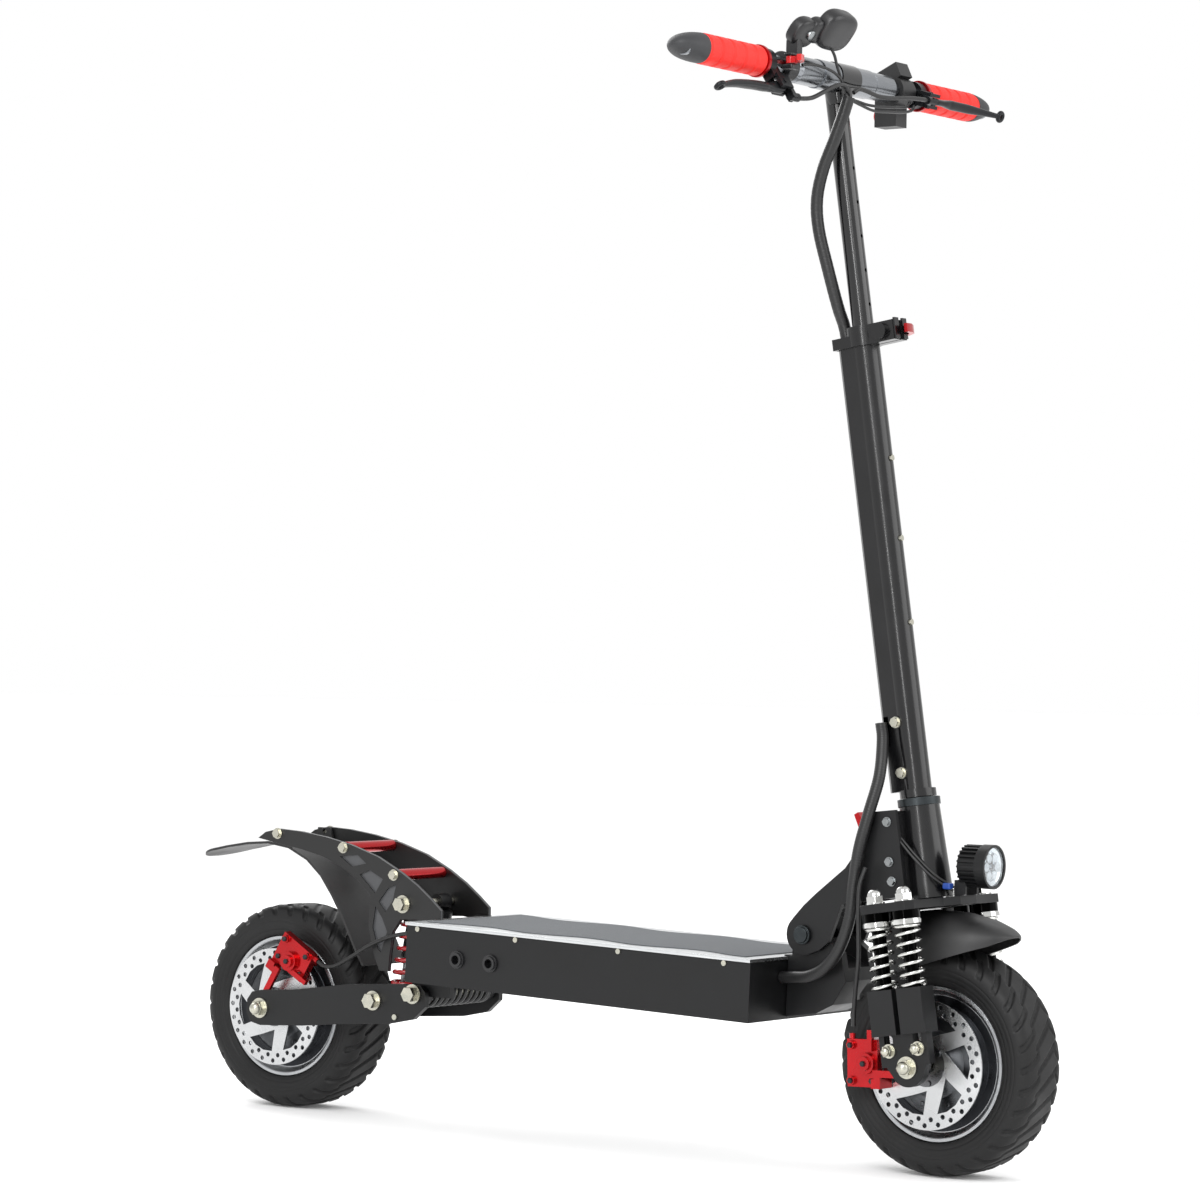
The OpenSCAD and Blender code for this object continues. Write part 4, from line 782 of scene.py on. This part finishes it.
class SCOOTER_OT_levers(bpy.types.Operator):
    """Brake levers that end in a ring"""
    bl_idname = "scooter.levers"
    bl_label = "Brake levers"

    def execute(self, context):
        w = angles(20)
        ring = np.stack([5.0 + 2.5 * np.cos(w), 50 + 2.7 * np.sin(w)], -1)
        for side, hand in ((-1, "right"), (1, "left")):
            parts = [blade_surface(side),
                     turned(ring, 40, "x", True, LEVERS[side], (0, side * 283.5, 0))]
            piece(f"{hand}_lever_blade", parts, f"{hand}_lever", made_finish("lever"),
                  45, [f"brake_lever_{hand}"])
        return {"FINISHED"}


class SCOOTER_OT_display(bpy.types.Operator):
    """Display pod with its window, side lobe, clamp and throttle base"""
    bl_idname = "scooter.display"
    bl_label = "Display"

    def execute(self, context):
        pod = cushion((23.8, 29.6, 14), (0.66, 0.5), DISPLAY, (0, 0, -2.5), top=0.72, sides=96,
                      rows=49)
        lobe = cushion((17.6, 20.6, 9), (0.8, 0.42), DISPLAY, (-14, -44.5, 3), top=0.95, sides=72,
                       rows=41)
        bridge = cushion((15, 15, 9), (0.8, 0.5), DISPLAY, (-7, -28, 0), sides=48, rows=25)
        clamp = turned([(11.2, -127), (16, -127), (17, -126), (17, -110), (16, -109),
                        (11.2, -109)], 72, closed=True, where=BAR)
        stalk = cushion((8.8, 4.8, 12.2), (0.3, 0.3), BAR, (13, -117, 20.5))
        low = cushion((8, 9, 3.2), (0.35, 0.35), BAR, (17, -129, -3))
        high = cushion((6.5, 12.5, 1.6), (0.35, 0.35), BAR, (18.5, -125.5, 11))
        post = turned([(0.3, -5), (2.4, -5), (2.4, 12.6), (2.0, 13.2), (0.3, 13.2)], 24, "z",
                      where=BAR, at=(18, -130, 0))
        piece("display_pod", [pod, lobe, bridge, clamp, stalk, low, high, post], "cockpit",
              made_finish("abs"), 35, ["display_unit"])
        window = cushion((17, 22.5, 2.2), (0.45, 0.35), DISPLAY, (0, 0.5, 5.6), sides=72)
        piece("display_window", [window], "cockpit", made_finish("screen"), 35)
        w = angles(16)
        bezel = np.stack([9.2 + 1.3 * np.cos(w), 11.4 + 1.1 * np.sin(w)], -1)
        screw = [(0.2, -9.2), (5.4, -9.0), (6.2, -8.2), (6.2, -4.0), (0.2, -4.0)]
        piece("button_bezel", [turned(bezel, 48, "z", True, DISPLAY, (-14, -48, 0)),
                               turned(screw, 32, "z", where=DISPLAY, at=(-12, -40, 0))], "cockpit",
              made_finish("steel"), 60)
        return {"FINISHED"}


class SCOOTER_OT_lamp(bpy.types.Operator):
    """Reflector and domed lens of the headlight"""
    bl_idname = "scooter.lamp"
    bl_label = "Headlight"

    def execute(self, context):
        where = ((0, 0, 350), 0.0)
        t = np.linspace(0, 1, 12)
        bowl = [(20.9 * q + 0.3, 534.6 + 3.8 * q * q) for q in t]
        parts = [turned(bowl + [(21.8, 538.2), (21.8, 534.3), (0.3, 534.3)], 72, "x", where=where)]
        for k in range(6):
            a = math.radians(60 * k)
            at = (0, 11 * math.cos(a), 11 * math.sin(a))
            # A small cup with an LED in the middle of it
            parts.append(turned([(5.3, 538.4), (4.9, 538.4), (2.4, 536.0), (2.2, 537.2),
                                 (1.2, 538.0), (0.2, 538.2), (0.2, 535.2), (5.3, 535.2)], 28,
                                "x", where=where, at=at))
        piece("lamp_reflector", parts, "steering", made_finish("mirror"), 40)
        dome = [(21.6 * q + 0.2, 542.4 - 1.4 * q * q) for q in t]
        piece("lamp_lens", [turned(dome + [(21.8, 539.2), (0.3, 540.2)], 72, "x", where=where)],
              "steering", made_finish("lens"), 40, ["headlight_lens"])
        return {"FINISHED"}


def hexagon(radius, low, high, where, at):
    """A hexagon head across Y: six flat sides, its outer edge broken by a small chamfer."""
    out = 1 if high > low else -1
    sides = [(0.2, low), (radius, low), (radius, high - out), (radius - 0.8, high), (0.2, high)]
    return turned(sides, 6, where=where, at=at)


class SCOOTER_OT_fastenings(bpy.types.Operator):
    """Caliper bolts, and the wires of the headlight with their plug"""
    bl_idname = "scooter.fastenings"
    bl_label = "Fastenings"

    def execute(self, context):
        # Each caliper's frame: the axle, turned until X points at the caliper.
        for name, body, turn in (("front", "front_legs", -182.0), ("rear", "swingarm", -59.0)):
            where = at_axle(name, turn)
            parts = [hexagon(3.5, y, y - 2.6, where, (x, 0, z))
                     for x, z, y in ((90, -20, -68), (90, 20, -68), (64, -20, -64), (64, 20, -64),
                                     (70, 0, -73))]
            piece(f"{name}_caliper_bolts", parts, body, made_finish("dark_steel"), 30)
        wire = lambda s, a: 1.5
        parts = [swept([(x, y + d, z + d) for x, y, z in LAMP_WIRE], wire, 12, 2.0, (0, 1, 0))
                 for d in (0, 3.2)]
        ends = [route_point(LAMP_WIRE, k) for k in (0, -1)]
        piece("lamp_wires", parts, "steering", made_finish("sleeve"), 50, (),
              ("front_end", ends[0], ends[1]))
        plug = cushion((5, 5, 3.6), (0.35, 0.35), WORLD, (494, -19, 327))
        piece("lamp_connector", [plug], "steering", made_finish("wrap"), 40)
        return {"FINISHED"}


class SCOOTER_OT_finishes(bpy.types.Operator):
    """Finishes and softened edges on the CAD parts that stay"""
    bl_idname = "scooter.finishes"
    bl_label = "Finishes"

    FINISH = {
        "powder": "deck_shell deck_neck kickstand fold_plates fork_crown "
                  "fork_legs swingarm shock_body headlight",
        "satin": "head_tube lower_stem clamp_collar",
        "tail": "tail_plates", "plate": "deck_plate", "tape": "grip_tape", "wrap": "battery_pack",
        "steel": "controllers bracket_bolts shock_rod display_button", "abs": "charge_ports",
        "dark_steel": "fold_pin headset", "zinc": "frame_bolts stem_bolts front_axle rear_axle",
        "red": "tail_spacers fold_latch qr_lever front_caliper rear_caliper",
        "nylon": "rear_fender switch_unit", "chrome": "shock_rods",
        "rotor_front": "front_rotor", "rotor_rear": "rear_rotor", "gloss": "upper_stem",
        "gunmetal": "handlebar bar_collars", "lever": "lever_perches",
        "button": "horn_button throttle_lever",
    }

    def execute(self, context):
        width = context.scene.scooter_sizes.edge
        for key, names in self.FINISH.items():
            for name in names.split():
                node = NODES[name]
                node.data.materials.clear()
                node.data.materials.append(made_finish(key))
                node.data.shade_smooth()
                # Loose triangles are joined, flat faces made whole, and edges past 30 degrees
                # rounded; the normals then follow the larger faces.
                node.modifiers.new("Join", "WELD").merge_threshold = 0.00002
                flat = node.modifiers.new("Flatten", "DECIMATE")
                flat.decimate_type, flat.angle_limit = "DISSOLVE", math.radians(0.6)
                bevel = node.modifiers.new("Edges", "BEVEL")
                bevel.width, bevel.segments = width, 2
                bevel.limit_method, bevel.angle_limit = "ANGLE", math.radians(30)
                bevel.use_clamp_overlap = True
                node.modifiers.new("Shading", "WEIGHTED_NORMAL").weight = 60
        return {"FINISHED"}


class SCOOTER_OT_stage(bpy.types.Operator):
    """Pale floor, soft studio light and the camera"""
    bl_idname = "scooter.stage"
    bl_label = "Stage"

    def execute(self, context):
        scene = context.scene
        a = angles(96)
        r = np.array([0.01, 2, 8, 30])[:, None]
        points = np.stack([r * np.cos(a), r * np.sin(a), 0 * r * a - 0.0004], -1)
        mesh = bpy.data.meshes.new("floor")
        mesh.from_pydata(points.reshape(-1, 3), [],
                         grid_faces(4, 96, False).tolist() + [list(range(96))])
        floor = bpy.data.objects.new("floor", mesh)
        scene.collection.objects.link(floor)
        shade = hex_of(scene.scooter_colours.floor)
        mesh.materials.append(grained("Painted studio floor", shade, shade, (0.7, 0.8), grain=4.0,
                                      depth=0.01))
        # A little light of its own keeps the floor as pale as the air behind it.
        shader = mesh.materials[0].node_tree.nodes["Principled BSDF"]
        shader.inputs["Emission Color"].default_value = linear("#ffffff")
        shader.inputs["Emission Strength"].default_value = 0.06
        scene.view_settings.view_transform = "Standard"
        world = bpy.data.worlds.new("Studio")
        scene.world = world
        world.use_nodes = True
        sky = world.node_tree.nodes["Background"]
        sky.inputs["Color"].default_value = linear("#ffffff")
        sky.inputs["Strength"].default_value = 1.0
        # Name, width, height, power and place; the strip draws a bright line along each tube.
        for name, wide, tall, power, spot in (("key", 2.6, 2.6, 120, (1.6, -3.4, 3.4)),
                                              ("fill", 3.0, 3.0, 60, (3.6, 1.0, 2.2)),
                                              ("rim", 2.4, 2.4, 90, (-3.2, 1.6, 3.0)),
                                              ("strip", 0.22, 2.6, 34, (1.5, -4.2, 1.4))):
            lamp = bpy.data.lights.new(name, "AREA")
            lamp.shape, lamp.size, lamp.size_y, lamp.energy = "RECTANGLE", wide, tall, power
            obj = bpy.data.objects.new(name, lamp)
            obj.location = spot
            aim = Vector((0, 0, 0.5)) - Vector(spot)
            obj.rotation_euler = aim.to_track_quat("-Z", "Y").to_euler()
            scene.collection.objects.link(obj)
        # The camera's place in metres and its turns in radians
        place, yaw, pitch, roll = (2.9068, -4.0236, 0.6054), 0.6275, -0.0078, 0.0191
        ahead = Vector((-math.sin(yaw) * math.cos(pitch), math.cos(yaw) * math.cos(pitch),
                        -math.sin(pitch)))
        right = Vector((math.cos(yaw), math.sin(yaw), 0))
        up = right.cross(ahead)
        across = math.cos(roll) * right + math.sin(roll) * up
        over = -math.sin(roll) * right + math.cos(roll) * up
        lens = bpy.data.cameras.new("camera")
        lens.lens, lens.sensor_width, lens.clip_end = 124.0, 36.0, 100.0
        camera = bpy.data.objects.new("camera", lens)
        camera.matrix_world = (Matrix.Translation(place)
                               @ Matrix((across, over, -ahead)).transposed().to_4x4())
        scene.collection.objects.link(camera)
        scene.camera = camera
        return {"FINISHED"}


class SCOOTER_PT_panel(bpy.types.Panel):
    """The scooter's pieces and their sizes"""
    bl_idname = "SCOOTER_PT_panel"
    bl_label = "Electric Kick Scooter"
    bl_space_type = "VIEW_3D"
    bl_region_type = "UI"
    bl_category = "Scooter"

    def draw(self, context):
        for group in (context.scene.scooter_sizes, context.scene.scooter_colours):
            for key in group.__annotations__:
                self.layout.prop(group, key)
        for step in STEPS:
            self.layout.operator(step.bl_idname)


STEPS = (SCOOTER_OT_stage, SCOOTER_OT_finishes, SCOOTER_OT_tyres, SCOOTER_OT_hubs,
         SCOOTER_OT_fenders, SCOOTER_OT_springs, SCOOTER_OT_hoses, SCOOTER_OT_grips,
         SCOOTER_OT_levers, SCOOTER_OT_display, SCOOTER_OT_lamp, SCOOTER_OT_fastenings)
CLASSES = (ScooterSizes, ScooterColours) + STEPS + (SCOOTER_PT_panel,)


def register():
    for cls in CLASSES:
        bpy.utils.register_class(cls)
    bpy.types.Scene.scooter_sizes = PointerProperty(type=ScooterSizes)
    bpy.types.Scene.scooter_colours = PointerProperty(type=ScooterColours)


def unregister():
    del bpy.types.Scene.scooter_sizes, bpy.types.Scene.scooter_colours
    for cls in reversed(CLASSES):
        bpy.utils.unregister_class(cls)


def main():
    register()
    for step in STEPS:
        getattr(bpy.ops.scooter, step.bl_idname.split(".")[1])()


if __name__ == "__main__":
    main()
